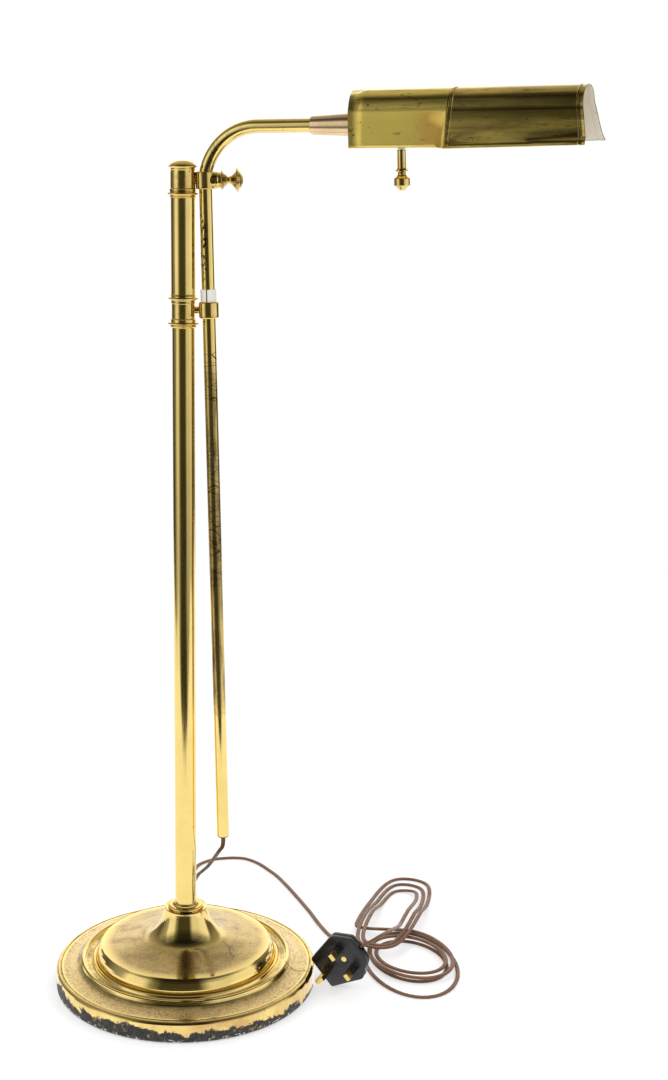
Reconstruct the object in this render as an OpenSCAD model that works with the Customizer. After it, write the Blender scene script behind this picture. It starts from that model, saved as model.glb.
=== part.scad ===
// Bridge floor lamp: a spun base and an upright, a bent arm that slides and turns in two
// eyes beside the upright, and a trough shade that turns on the end of the arm.
// Millimetres, +Z up. The origin is the centre of the base's underside.

/* [Base] */
// Radius of the base
base_r = 117; // [112:1:122]
// Height of the rim's shoulder
rim_h = 19.7; // [18:0.1:21]
// Height of the spun base at its neck
neck_h = 72.9; // [70:0.1:76]
// Wall of the spun brass
spun_wall = 1.2; // [1:0.1:1.6]

/* [Upright] */
// Outer radius of the lower tube
post_r = 9.52; // [9:0.02:10]
// Outer radius of the short upper tube
sleeve_r = 10.15; // [9.8:0.05:10.4]
// Wall of both tubes
tube_wall = 1; // [0.8:0.1:1.5]
// Height at which the lower collar starts
lower_collar_z = 596; // [560:1:600]
// Height at which the upper collar starts
upper_collar_z = 702.4; // [700:0.1:704]
// Radius of the rod that ties the upright together
tie_r = 4.8; // [4:0.1:5]

/* [Arm] */
// Radius of the arm's tube
arm_r = 5.5; // [5.3:0.05:5.6]
// Radius of the bore along the arm's tube
arm_bore_r = 4.5; // [4.2:0.1:4.6]
// Where the rod's axis meets the floor plane, to the right of the upright
rod_foot_x = 37.27; // [37:0.01:37.5]
// Lean of the rod towards the upright, in degrees
rod_lean = 1.5; // [1.45:0.01:1.55]
// Height of the rod's lower end
rod_foot_z = 141.8; // [140:0.1:150]
// Height at which the bend starts
bend_z = 718.6; // [718.2:0.1:719.4]
// Direction of the arm, in degrees from the right towards the front
arm_turn = 21.5; // [15:0.5:25]
// Radius of the tight first part of the bend
bend_first_r = 23; // [22:0.5:26]
// Angle of the tight first part of the bend
bend_first = 16.4; // [14:0.1:18]
// Radius of the open second part of the bend
bend_second_r = 48.9; // [48:0.1:50]
// Angle of the whole bend
bend_all = 89.7; // [89:0.1:90]

/* [Shade] */
// Distance from the bend to the ferrule
ferrule_s = 47.8; // [46:0.1:50]
// Distance from the bend to the back of the shade
shade_s = 86; // [85:0.5:88]
// Distance from the bend to the seam between housing and hood
seam_s = 168; // [166:0.5:170]
// Distance from the bend to the open end at the ridge
mouth_s = 272.2; // [268:0.5:275]
// Turn of the shade about the arm, far side up
shade_turn = 2.1; // [0:0.1:3]
// Thickness of the sheet
sheet_t = 0.9; // [0.7:0.1:1.2]
// Height of the ridge above the arm
ridge_u = 26.9; // [26:0.1:28]
// Half width of the housing
housing_w = 20; // [19:0.5:22]
// Half width of the hood at its lower edge
hood_w = 33; // [30:0.5:35]

/* [Cord] */
// Width of the flex
cord_d = 4; // [3.6:0.1:4.2]

/* [Hidden] */

brass = [0.78, 0.62, 0.25];
dull_brass = [0.66, 0.52, 0.24];
copper_brass = [0.75, 0.50, 0.26];
steel = [0.6, 0.6, 0.6];
black = [0.08, 0.08, 0.08];
nylon = [0.95, 0.94, 0.9];
flex_brown = [0.36, 0.22, 0.14];

// ---- helpers ----------------------------------------------------------------

// Points on an arc about c, from angle a0 to a1
function arc(c, r, a0, a1, n = 6) =
    [for (i = [0:n]) let(a = a0 + (a1 - a0) * i / n) [c[0] + r * cos(a), c[1] + r * sin(a)]];

// A smooth curve through the points p, with n steps between two of them
function smooth(p, n) = concat(
    [for (i = [0:len(p) - 2], k = [0:n - 1])
        let(
            t = k / n,
            a = p[max(i - 1, 0)], b = p[i], c = p[i + 1], d = p[min(i + 2, len(p) - 1)]
        )
        0.5 * (2 * b + (c - a) * t + (2 * a - 5 * b + 4 * c - d) * t * t
            + (3 * b - a - 3 * c + d) * t * t * t)],
    [p[len(p) - 1]]);

function unit(v) = v / norm(v);
function flip(p) = [for (i = [len(p) - 1:-1:0]) p[i]];
function total(v, i = 0) = i == len(v) ? 0 : v[i] + total(v, i + 1);

// A turned piece: points are radius and height
module turned(points) {
    rotate_extrude($fn = 96) polygon(points);
}

module ring(r_out, r_in, z0, z1) {
    translate([0, 0, z0])
        difference() {
            cylinder(r = r_out, h = z1 - z0, $fn = 96);
            translate([0, 0, -1]) cylinder(r = r_in, h = z1 - z0 + 2, $fn = 96);
        }
}

// Places a child in the frame of the rod: its own Z runs up the rod's axis
module on_rod() {
    translate([rod_foot_x, 0, 0]) rotate([0, -rod_lean, 0]) children();
}

bend_first_x = bend_first_r * (1 - cos(bend_first));
bend_first_z = bend_first_r * sin(bend_first);
bend_end_x = bend_first_x + bend_second_r * (cos(bend_first) - cos(bend_all));
bend_end_z = bend_first_z + bend_second_r * (sin(bend_all) - sin(bend_first));

// Places a child in the frame of the arm's end: X along the arm, Z up, from the end of the bend
module on_arm() {
    on_rod()
        translate([0, 0, bend_z])
            rotate([0, 0, -arm_turn])
                translate([bend_end_x, 0, bend_end_z])
                    rotate([0, bend_all - 90, 0]) children();
}

// The same, turned with the shade about the arm
module on_shade() {
    on_arm() rotate([shade_turn, 0, 0]) children();
}

// A turned piece whose axis lies along the arm: points are radius and distance from the bend
module turned_along_arm(points) {
    rotate([0, 90, 0]) turned(points);
}

// A tube of round section swept along the points of route, closed at both ends
module swept(route, r, sides) {
    last = len(route) - 1;
    ways = [for (i = [0:last]) unit(route[min(i + 1, last)] - route[max(i - 1, 0)])];
    points = [for (i = [0:last], k = [0:sides - 1])
        let(
            side = unit(cross(ways[i], [0.5, 0, 0.87])),
            up = cross(side, ways[i]),
            a = 360 * k / sides
        )
        route[i] + r * (cos(a) * side + sin(a) * up)];
    walls = [for (i = [0:last - 1], k = [0:sides - 1], half = [0, 1])
        let(a = i * sides + k, b = i * sides + (k + 1) % sides)
        half == 0 ? [a, b, a + sides] : [b, b + sides, a + sides]];
    first_end = [for (k = [1:sides - 2]) [0, k + 1, k]];
    last_end = [for (k = [1:sides - 2]) [last * sides, last * sides + k, last * sides + k + 1]];
    polyhedron(points = points, faces = concat(walls, first_end, last_end), convexity = 8);
}

// ---- base -------------------------------------------------------------------

pad_t = 1.6;
pad_r = 112;
shell_foot_z = 0.5;
weight_r = 113;
weight_top = 17.9;
weight_hub_r = 26;
weight_hub_top = 40;
recess_r = 20;
recess_top = 12;
bore_play = 0.25;

// The dome and the flared neck, from its sharp edge inwards
dome = smooth([
    [75.4, 39.0], [66, 39.8], [55, 41.2], [45, 43.0], [37, 45.0], [32.5, 47.2], [28.6, 51.2],
    [25.2, 56.0], [22.3, 61.4], [20.3, 67.0], [19.3, 71.2]
], 3);

base_outline = concat(
    [[base_r - 1.6, shell_foot_z]],
    arc([base_r - 2.4, 3], 2.4, -50, 0, 3),
    arc([base_r - 3.5, rim_h - 3.5], 3.5, 0, 90, 6),
    [[112.9, rim_h - 0.1], [112.5, rim_h - 0.7], [112.1, rim_h - 0.1]],
    smooth([[111.6, rim_h], [104, 20.3], [98.6, 21.5], [95.4, 23.3], [94.2, 25.2]], 3),
    arc([92.3, 25.6], 1.7, 0, 180, 6),
    [[90.2, 24.5], [89, 24.1], [85.4, 24.1], [84.4, 24.7]],
    arc([82.4, 25.2], 1.5, 20, 180, 6),
    [for (a = [2:6:44]) [64 + 16.9 * cos(a), 25.2 + 19.6 * sin(a)]],
    [[75.9, 39.3]],
    dome,
    [[19.1, 72.4], [18.6, neck_h]]);

base_inside = [
    [tie_r + bore_play, neck_h - 2], [17, neck_h - 2], [18.2, 66], [20.5, 60], [24.2, 53.5],
    [28.6, 47.6], [32, 44.6], [45, 41.2], [66, 38], [73.5, 37.2], [78.4, 28.5], [79.4, 22.7],
    [94.6, 22.7], [96.5, 20.6], [98, 19.6], [103, 18.8], [111, 18.2],
    [base_r - spun_wall - 2, 17], [base_r - spun_wall, 14.5], [base_r - spun_wall, 3],
    [base_r - spun_wall - 1.2, shell_foot_z]
];

module base_pad() {
    color([0.16, 0.2, 0.14]) cylinder(r = pad_r, h = pad_t, $fn = 192);
}

module base_weight() {
    color([0.25, 0.25, 0.26])
        difference() {
            turned([
                [tie_r + bore_play, pad_t], [weight_r, pad_t], [weight_r, weight_top - 4],
                [weight_r - 3, weight_top], [104, weight_top], [97, 17.5], [86, 17.5],
                [76, 22], [72, 30], [40, 34], [weight_hub_r, weight_hub_top],
                [tie_r + bore_play, weight_hub_top]
            ]);
            translate([0, 0, -1]) cylinder(r = recess_r, h = recess_top + 1, $fn = 96);
        }
}

module base_shell() {
    color(brass) turned(concat(base_outline, base_inside));
}

module base_washer() {
    color(steel) ring(15, tie_r + bore_play, recess_top - 2, recess_top);
}

nut_h = 5.5;

module base_nut() {
    color(steel)
        translate([0, 0, recess_top - 2 - nut_h])
            difference() {
                cylinder(r = 8.6, h = nut_h, $fn = 6);
                translate([0, 0, -1]) cylinder(r = tie_r, h = nut_h + 2, $fn = 96);
            }
}

// ---- upright ----------------------------------------------------------------

neck_ring_top = 77.6;
spigot = 6;
cap_z = 724.6;
tie_top = 727;
tie_foot = recess_top - 2 - nut_h - 1;

module tie_rod() {
    color(steel) translate([0, 0, tie_foot]) cylinder(r = tie_r, h = tie_top - tie_foot, $fn = 96);
}

module neck_ring() {
    color(brass)
        turned([
            [tie_r + bore_play, neck_h], [15, neck_h], [15.8, neck_h + 0.7], [15.6, neck_h + 1.7],
            [14.8, neck_h + 2.3], [12.2, neck_h + 2.5], [11.6, neck_h + 2.9],
            [11.5, neck_h + 3.7], [11, neck_h + 4.3], [10.2, neck_ring_top],
            [post_r - tube_wall - 0.05, neck_ring_top],
            [post_r - tube_wall - 0.05, neck_ring_top + spigot],
            [tie_r + bore_play, neck_ring_top + spigot]
        ]);
}

module post_tube() {
    color(brass) ring(post_r, post_r - tube_wall, neck_ring_top, lower_collar_z);
}

// A small turned bead on a collar, bulging to r at height z from the radius of its foot
function bead(r, z, h, foot) =
    [[foot, z - h], [r - h * 0.45, z - h * 0.75], [r, z - h * 0.15], [r, z + h * 0.15],
        [r - h * 0.45, z + h * 0.75], [foot, z + h]];

lower_body_r = 9.75;
lower_outline = concat(
    [[post_r + 0.15, lower_collar_z]],
    bead(11.15, lower_collar_z + 1.4, 1.1, 10.2),
    bead(13.1, lower_collar_z + 3.8, 1, 10.6),
    [[10.5, lower_collar_z + 5.3], [10.45, lower_collar_z + 6.2]],
    arc([lower_body_r + 1.6, lower_collar_z + 8.4], 1.6, 235, 180, 3),
    [[lower_body_r, lower_collar_z + 20], [10.1, lower_collar_z + 20.5],
        [10.2, lower_collar_z + 22.6], [10.6, lower_collar_z + 23.2]],
    bead(12.6, lower_collar_z + 24.6, 1, 10.5),
    bead(10.8, lower_collar_z + 27.2, 0.9, 10.3),
    [[sleeve_r + 0.1, lower_collar_z + 28.8]]);
sleeve_z = lower_collar_z + 28.8;

// A collar between two tubes, with a spigot into each
module spigoted(outline, z0, z1, low_r, high_r) {
    turned(concat(
        [[tie_r + bore_play, z0 - spigot], [low_r, z0 - spigot], [low_r, z0]],
        outline,
        [[high_r, z1], [high_r, z1 + spigot], [tie_r + bore_play, z1 + spigot]]));
}

module lower_collar() {
    color(brass)
        difference() {
            spigoted(lower_outline, lower_collar_z, sleeve_z, post_r - tube_wall - 0.05,
                sleeve_r - tube_wall - 0.05);
            on_rod() stub(lower_eye_z, stub_r);
        }
}

module upper_tube() {
    color(brass) ring(sleeve_r, sleeve_r - tube_wall, sleeve_z, upper_collar_z);
}

upper_body_r = 10.35;
upper_outline = concat(
    [[sleeve_r + 0.1, upper_collar_z]],
    bead(10.85, upper_collar_z + 1.3, 0.9, 10.4),
    bead(12.7, upper_collar_z + 3.8, 1, 10.7),
    [[10.9, upper_collar_z + 5.4], [11.05, upper_collar_z + 6.4]],
    arc([upper_body_r + 1.4, upper_collar_z + 8.6], 1.4, 235, 180, 3),
    [[upper_body_r, cap_z - 1.2], [10.1, cap_z]]);

module upper_collar() {
    color(brass)
        difference() {
            turned(concat(
                [[tie_r + bore_play, upper_collar_z - spigot],
                    [sleeve_r - tube_wall - 0.05, upper_collar_z - spigot],
                    [sleeve_r - tube_wall - 0.05, upper_collar_z]],
                upper_outline,
                [[tie_r + bore_play, cap_z]]));
            on_rod() stub(upper_eye_z, stub_r);
        }
}

module top_cap() {
    color(brass)
        turned(concat(
            [[0, tie_top], [tie_r, tie_top], [tie_r, cap_z], [10.1, cap_z]],
            bead(10.5, cap_z + 1.1, 0.9, 10.1),
            bead(12.1, cap_z + 3.5, 0.9, 10.5),
            smooth([[11.1, cap_z + 4.6], [9.4, cap_z + 6.3], [6.4, cap_z + 7.8],
                [3, cap_z + 8.5], [0, cap_z + 8.7]], 3)));
}

// ---- eyes and clamp ---------------------------------------------------------

lower_eye_z = 611.3;
lower_eye_r = 8.5;
lower_eye_h = 14.2;
upper_eye_z = 717.3;
upper_eye_r = 8;
upper_eye_h = 14.1;
stub_r = 3;
stub_end = 6.2;
bush_r = 6.6;
bush_play = 0.04;
bush_top = 628.3;
slit_w = 1.3;
boss_r = 6.3;
boss_end = 12.7;
screw_r = 2.4;

// The stub that fastens an eye in its collar, from the eye's middle back to the collar
module stub(z, r) {
    reach = rod_foot_x - (z * tan(rod_lean)) - stub_end;
    translate([-reach, 0, z]) rotate([0, 90, 0]) cylinder(r = r, h = reach, $fn = 64);
}

// The round body of an eye, rounded at its rims
module eye_drum(r, h, z, rim) {
    translate([0, 0, z - h / 2])
        turned(concat(
            [[0, 0]], arc([r - rim, rim], rim, -90, 0, 4),
            arc([r - rim, h - rim], rim, 0, 90, 4), [[0, h]]));
}

module lower_eye() {
    color(brass)
        on_rod()
            difference() {
                union() {
                    eye_drum(lower_eye_r, lower_eye_h, lower_eye_z, 1.9);
                    stub(lower_eye_z, stub_r);
                }
                translate([0, 0, lower_eye_z - lower_eye_h])
                    cylinder(r = bush_r, h = 2 * lower_eye_h, $fn = 96);
            }
}

// A split bush of white nylon that lines the lower eye and stands up above it
module nylon_bush() {
    foot = lower_eye_z - lower_eye_h / 2 + 0.6;
    color(nylon)
        on_rod()
            difference() {
                ring(bush_r, arm_r + bush_play, foot, bush_top);
                rotate([0, 0, -100])
                    translate([0, -slit_w / 2, foot - 1]) cube([bush_r + 1, slit_w, bush_top]);
            }
}

module upper_eye() {
    color(brass)
        on_rod()
            difference() {
                union() {
                    eye_drum(upper_eye_r, upper_eye_h, upper_eye_z, 1.1);
                    stub(upper_eye_z, stub_r);
                    translate([0, 0, upper_eye_z]) rotate([0, 90, 0])
                        turned([
                            [0, 0], [boss_r + 0.5, 0], [boss_r + 0.5, 10], [boss_r + 0.2, 10.6],
                            [boss_r, 11], [boss_r - 0.1, boss_end], [0, boss_end]
                        ]);
                }
                translate([0, 0, upper_eye_z - upper_eye_h])
                    cylinder(r = arm_r + bush_play, h = 2 * upper_eye_h, $fn = 96);
                // the mouth widens upwards, because the bend sits in it at the lowest setting
                translate([0, 0, bend_z - 0.6])
                    cylinder(r1 = arm_r + bush_play, r2 = arm_r + 1.3, h = 7, $fn = 96);
                translate([0, 0, upper_eye_z]) rotate([0, 90, 0])
                    cylinder(r = screw_r + 0.05, h = 2 * boss_end, $fn = 64);
            }
}

// The loose conical collar on the thumbscrew's shank
module clamp_collar() {
    color(dull_brass)
        on_rod()
            translate([0, 0, upper_eye_z]) rotate([0, 90, 0])
                turned([
                    [screw_r + 0.05, boss_end + 0.35], [7, boss_end + 0.35],
                    [7.6, boss_end + 0.8], [7.4, boss_end + 1.4], [5.4, boss_end + 2.8],
                    [4.1, boss_end + 4.3], [3.6, boss_end + 5.2], [screw_r + 0.05, boss_end + 5.2]
                ]);
}

neck_s = boss_end + 5.2;
shank_end = boss_end - 1;
tang_r = 1.5;
tang_end = neck_s + 4;

// The thumbscrew's shank: it fills the boss, bears on the rod and ends in a tang in the head
module screw_shank() {
    color(brass)
        on_rod()
            translate([0, 0, upper_eye_z]) rotate([0, 90, 0])
                turned([
                    [0, arm_r + 0.35], [screw_r - 0.6, arm_r + 0.35], [screw_r, arm_r + 1],
                    [screw_r, shank_end], [tang_r, shank_end], [tang_r, tang_end], [0, tang_end]
                ]);
}

// The thumbscrew's head: a neck behind the shank, a flared stem and a stepped, domed knob
module thumb_screw() {
    color(brass)
        on_rod()
            translate([0, 0, upper_eye_z]) rotate([0, 90, 0])
                turned(concat(
                    [[0, tang_end + 0.05], [tang_r + 0.05, tang_end + 0.05],
                        [tang_r + 0.05, shank_end + 0.02], [screw_r, shank_end + 0.02],
                        [screw_r, neck_s]],
                    smooth([[2.9, neck_s], [2.7, neck_s + 1.4], [3.3, neck_s + 3.1],
                        [4.6, neck_s + 4.7], [6.6, neck_s + 6.3], [8.6, neck_s + 7.5]], 3),
                    arc([8.9, neck_s + 8.4], 0.75, -70, 80, 4),
                    [[8.1, neck_s + 9.2], [7.9, neck_s + 9.8], [6.9, neck_s + 10.2],
                        [6.6, neck_s + 10.8], [5.2, neck_s + 11.6], [4.9, neck_s + 11.9]],
                    smooth([[4.6, neck_s + 12], [3.2, neck_s + 12.8], [1.6, neck_s + 13.2],
                        [0, neck_s + 13.3]], 3)));
}

// ---- arm --------------------------------------------------------------------

arm_end_s = shade_s - 20;
flex_r = 1.8;

step = 0.02;
lap = 0.2;

// One round length of the bend about c, between two angles, started a little early
module bend_part(c, bend_r, from, to, r) {
    early = lap / bend_r * 180 / PI;
    translate([c[0], 0, c[1]])
        rotate([90, early - from, 180])
            rotate_extrude(angle = to - from + early, $fn = 64)
                translate([bend_r, 0]) circle(r = r, $fn = 48);
}

// The straight rod, the bend in its two parts and the straight end, drawn with radius r.
// Each part starts inside the one before it and is a hair thinner.
module arm_path(r, foot, tip) {
    rotate([0, 0, -arm_turn])
        translate([0, 0, bend_z]) {
            translate([0, 0, foot - bend_z]) cylinder(r = r, h = bend_z - foot, $fn = 48);
            bend_part([bend_first_r, 0], bend_first_r, 0, bend_first, r - step);
            bend_part([bend_first_x + bend_second_r * cos(bend_first),
                    bend_first_z - bend_second_r * sin(bend_first)],
                bend_second_r, bend_first, bend_all, r - 2 * step);
            translate([bend_end_x, 0, bend_end_z])
                rotate([0, bend_all, 0])
                    translate([0, 0, -lap]) cylinder(r = r - 3 * step, h = tip + lap, $fn = 48);
        }
}

// The straight rod ends inside the upper eye, where the bent arm's spigot stands in it
rod_joint_z = upper_eye_z - 4.5;
joint_depth = 12;
joint_bore_r = 3.3;

module rod_tube() {
    color(dull_brass) on_rod() ring(arm_r, arm_bore_r, rod_foot_z, rod_joint_z);
}

module arm_tube() {
    color(dull_brass)
        on_rod()
            difference() {
                union() {
                    arm_path(arm_r, rod_joint_z, arm_end_s);
                    translate([0, 0, rod_joint_z - joint_depth])
                        cylinder(r = arm_bore_r - 0.05, h = joint_depth + 3, $fn = 48);
                }
                arm_path(joint_bore_r, rod_joint_z - joint_depth - 1, arm_end_s + 1);
                arm_path(arm_bore_r, rod_joint_z + 3, arm_end_s + 1);
            }
}

// The dark lip in the rod's lower end, where the flex comes out
module rod_grommet() {
    color(black)
        on_rod()
            turned([
                [cord_d / 2 + 0.1, rod_foot_z - 1.2], [arm_r - 1, rod_foot_z - 1.2],
                [arm_r - 0.3, rod_foot_z - 0.7], [arm_r - 0.3, rod_foot_z - 0.3],
                [arm_bore_r - 0.05, rod_foot_z - 0.3], [arm_bore_r - 0.05, rod_foot_z + 7],
                [cord_d / 2 + 0.1, rod_foot_z + 7]
            ]);
}

module inner_flex() {
    color(flex_brown) on_rod() arm_path(flex_r, cord_top_z + 0.1, shade_s + 12);
}

// The tapered ferrule, fixed on the arm's end, with a socket for the swivel's nipple
ferrule_end_s = shade_s - 3;
nipple_r = 4.8;
module arm_ferrule() {
    color(copper_brass)
        on_arm()
            difference() {
                turned_along_arm(concat(
                    [[0, ferrule_s]],
                    arc([6.5, ferrule_s + 0.8], 0.8, -90, -20, 3),
                    [[8.9, ferrule_end_s - 0.6], [8.6, ferrule_end_s], [0, ferrule_end_s]]));
                translate([ferrule_s - 1, 0, 0]) rotate([0, 90, 0])
                    cylinder(r = arm_r + 0.02, h = arm_end_s - ferrule_s + 1, $fn = 64);
                translate([arm_end_s - 1, 0, 0]) rotate([0, 90, 0])
                    cylinder(r = nipple_r + 0.05, h = 40, $fn = 64);
            }
}

// ---- swivel and shade -------------------------------------------------------

module swivel_ring() {
    color(brass)
        on_arm()
            difference() {
                turned_along_arm([
                    [0, ferrule_end_s + 0.3], [8.4, ferrule_end_s + 0.3], [9.1, ferrule_end_s + 0.9],
                    [9.3, ferrule_end_s + 1.7], [9, shade_s - 0.4], [8.6, shade_s], [0, shade_s]
                ]);
                rotate([0, 90, 0]) cylinder(r = nipple_r, h = 200, $fn = 64);
            }
}

// The hollow threaded nipple that the shade turns on
module swivel_nipple() {
    color(steel)
        on_arm()
            translate([arm_end_s + 1, 0, 0]) rotate([0, 90, 0])
                ring(nipple_r, nipple_r - 1.4, 0, shade_s + 11 - arm_end_s);
}

module swivel_nut() {
    color(steel)
        on_arm()
            translate([shade_s + sheet_t, 0, 0]) rotate([0, 90, 0])
                difference() {
                    cylinder(r = 8, h = 3, $fn = 6);
                    translate([0, 0, -1]) cylinder(r = nipple_r, h = 6, $fn = 64);
                }
}

lower_u = -17.2;
mouth_lower_u = -15.4;
eave_u = 9.5;

// Half of the roof's outline, from the ridge out to the eave
roof = [[0, ridge_u], [4.6, ridge_u - 0.4], [9, ridge_u - 1.7], [12.8, ridge_u - 4],
    [15.4, ridge_u - 7], [17.2, ridge_u - 10.5], [18.6, ridge_u - 14]];

// Half of the housing's section, and half of the hood's, both with the same count of points
function housing_half(w, low) = concat(roof,
    [[w, eave_u], [w, eave_u - 6.5], [w, eave_u - 13], [w, eave_u - 19.5], [w, low + 3],
        [w, low]]);
function hood_half(w, low) = concat(roof,
    [[20.2, eave_u], [22, eave_u - 6.5], [24, eave_u - 13], [26.4, eave_u - 19.5],
        [w - 4.2, low + 3.2], [w, low]]);

// The whole section as one closed outline: outside from near to far, then inside back again
function inset(half, t) = [for (i = [0:len(half) - 1])
    let(
        way = unit(half[min(i + 1, len(half) - 1)] - half[max(i - 1, 0)]),
        square_way = i == 0 ? [1, 0] : way
    )
    half[i] - t * [-square_way[1], square_way[0]]];
function mirrored(half) = [for (i = [1:len(half) - 1]) [-half[i][0], half[i][1]]];
function whole(half) = concat(flip(mirrored(half)), half);

// A station of the shade: its section at the distance s_top at the ridge and s_low at the edge
function station(half, s_top, s_low, proud = 0) =
    let(
        outer = whole(inset(half, -proud)),
        inner = flip(whole(inset(half, sheet_t)))
    )
    [for (p = concat(outer, inner))
        let(share = max(0, min(1, (eave_u + 4 - p[1]) / (eave_u + 4 - lower_u))))
        [s_top + (s_low - s_top) * share, p[0], p[1]]];

// Joins the stations, which share one count of points, into a closed sheet
module lofted(stations) {
    n = len(stations[0]);
    last = len(stations) - 1;
    points = [for (s = stations, p = s) p];
    walls = [for (i = [0:last - 1], k = [0:n - 1], half = [0, 1])
        let(a = i * n + k, b = i * n + (k + 1) % n)
        half == 0 ? [a, a + n, b] : [b, a + n, b + n]];
    rim = [for (k = [0:n / 2 - 2], half = [0, 1])
        half == 0 ? [k, k + 1, n - 1 - k] : [k + 1, n - 2 - k, n - 1 - k]];
    far_rim = [for (f = rim) [f[0] + last * n, f[2] + last * n, f[1] + last * n]];
    polyhedron(points = points, faces = concat(walls, rim, far_rim), convexity = 6);
}

fold_top_s = seam_s - 3;
fold_low_s = seam_s - 11.5;
seam_low_s = seam_s - 1.1;
mouth_low_s = mouth_s + 5.3;
bead_h = 0.55;

module shade_housing() {
    color(dull_brass)
        on_shade()
            lofted([
                station(housing_half(housing_w, lower_u), shade_s, shade_s),
                station(housing_half(housing_w, lower_u), fold_top_s, fold_low_s),
                station(hood_half(hood_w - 3.5, lower_u), seam_s, seam_low_s)
            ]);
}

// The pressed hood: a double bead at its seam, one near its mouth, and a flared lower edge
module shade_hood() {
    color(dull_brass)
        on_shade()
            lofted(concat(
                [for (b = [[0.1, 0.3], [0.8, bead_h], [1.4, 0.1], [2, bead_h], [2.7, 0]])
                    station(hood_half(hood_w - 3, lower_u + 0.1), seam_s + b[0],
                        seam_low_s + b[0], b[1])],
                [for (b = [[-5.6, 0], [-5.1, bead_h], [-4.4, bead_h], [-3.9, 0], [0, 0]])
                    station(hood_half(hood_w, mouth_lower_u), mouth_s + b[0],
                        mouth_low_s + b[0], b[1])]));
}

// The flat plate that closes the housing's back
module end_plate() {
    inner = inset(housing_half(housing_w, lower_u), sheet_t + 0.05);
    color(dull_brass)
        on_shade()
            difference() {
                rotate([90, 0, 90])
                    translate([0, 0, shade_s]) linear_extrude(sheet_t) polygon(whole(inner));
                translate([shade_s - 1, 0, 0]) rotate([0, 90, 0])
                    cylinder(r = nipple_r, h = sheet_t + 2, $fn = 64);
            }
}

// ---- lampholder, bulb and switch --------------------------------------------

cup_s = shade_s + 14;
holder_s = cup_s + 9;
holder_end_s = 146;
holder_r = 14;
cap_r = 11;
glass_r = 13;
glass_end_s = 222;
switch_s = 122.8;
switch_body_low = -16;

module socket_cup() {
    color(brass)
        on_arm()
            difference() {
                turned_along_arm([
                    [0, shade_s + 4.5], [6.5, shade_s + 4.5], [7.5, shade_s + 9],
                    [13.2, cup_s + 1], [15, cup_s + 4], [15, holder_s + 3], [14.05, holder_s + 3],
                    [14.05, holder_s], [0, holder_s]
                ]);
                translate([shade_s, 0, 0]) rotate([0, 90, 0]) cylinder(r = nipple_r, h = 50, $fn = 64);
            }
}

module lampholder() {
    color([0.12, 0.12, 0.12])
        on_shade()
            difference() {
                turned_along_arm([
                    [0, holder_s + 0.05], [holder_r, holder_s + 0.05], [holder_r, holder_end_s],
                    [cap_r + 0.3, holder_end_s], [cap_r + 0.3, holder_s + 14], [0, holder_s + 14]
                ]);
                translate([switch_s, 0, -holder_r - 1])
                    cylinder(r = 4.6, h = 8, $fn = 48);
            }
}

module bulb_cap() {
    color([0.72, 0.72, 0.7])
        on_arm()
            turned_along_arm([
                [0, holder_s + 14.2], [4, holder_s + 14.2], [5.5, holder_s + 16],
                [cap_r, holder_s + 17.5], [cap_r, holder_end_s + 6], [0, holder_end_s + 6]
            ]);
}

module bulb_glass() {
    color([0.93, 0.93, 0.9])
        on_arm()
            turned_along_arm(concat(
                [[0, holder_end_s + 6.05], [cap_r - 0.3, holder_end_s + 6.05],
                    [cap_r + 1, holder_end_s + 9], [glass_r, holder_end_s + 14]],
                arc([0, glass_end_s - glass_r], glass_r, 0, 90, 8)));
}

// The switch turns about its own upright stem, under the lampholder
module on_switch() {
    on_shade() translate([switch_s, 0, 0]) children();
}

module switch_body() {
    color(black)
        on_switch() {
            translate([0, 0, switch_body_low]) cylinder(r = 4.4, h = 4.7, $fn = 48);
            translate([-6, -6.5, switch_body_low]) cube([12, 13, 1.8]);
        }
}

module switch_bush() {
    color(nylon) on_switch() ring(2.85, 1.6, -19.4, switch_body_low);
}

module switch_knob() {
    color(brass)
        on_switch() {
            turned([
                [0, -51.2], [1.6, -51.1], [2.6, -50.6], [4.9, -47.8], [5.6, -47.5], [6.1, -47.4],
                [6.4, -47], [6.4, -42], [6.1, -41.4], [4.3, -40], [3.4, -38.8], [3.15, -37.8],
                [3.3, -36.8], [3.9, -36.3], [5.3, -35.9], [5.3, -35.4], [3.8, -34.3],
                [3.45, -33.4], [3.4, -20.2], [3.1, -19.7], [0, -19.7]
            ]);
            translate([0, 0, -20]) cylinder(r = 1.5, h = 3.9, $fn = 48);
        }
}

// ---- cord and plug ----------------------------------------------------------

cord_r = cord_d / 2;
plug_place = [145.6, -17.4, 32.1];
plug_lean = [-84.2, 50.4, -15.2];
plug_flat = 15.8;
plug_outline = [
    [-14.4, 31.2], [-16.2, 30], [-20, 15], [-23.6, 1.5], [-23.6, -1.5], [-13, -15],
    [-11, -plug_flat], [11, -plug_flat], [13, -15], [23.6, -1.5], [23.6, 1.5], [20, 15],
    [16.2, 30], [14.4, 31.2]
];
plug_face_t = 4.5;
plug_back = 16;
cord_hole_z = 7;
cord_hole_depth = 3;
pin_gap = 11.11;
earth_pin_y = 22.23;
pocket = 3.5;
pin_w = 6.3;
pin_t = 3.9;
pin_core = 0.7;
sleeve_l = 9;

function about_x(p, a) = [p[0], p[1] * cos(a) - p[2] * sin(a), p[1] * sin(a) + p[2] * cos(a)];
function about_y(p, a) = [p[0] * cos(a) + p[2] * sin(a), p[1], p[2] * cos(a) - p[0] * sin(a)];
function about_z(p, a) = [p[0] * cos(a) - p[1] * sin(a), p[0] * sin(a) + p[1] * cos(a), p[2]];
function at_plug(p) =
    plug_place + about_z(about_y(about_x(p, plug_lean[0]), plug_lean[1]), plug_lean[2]);

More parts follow.
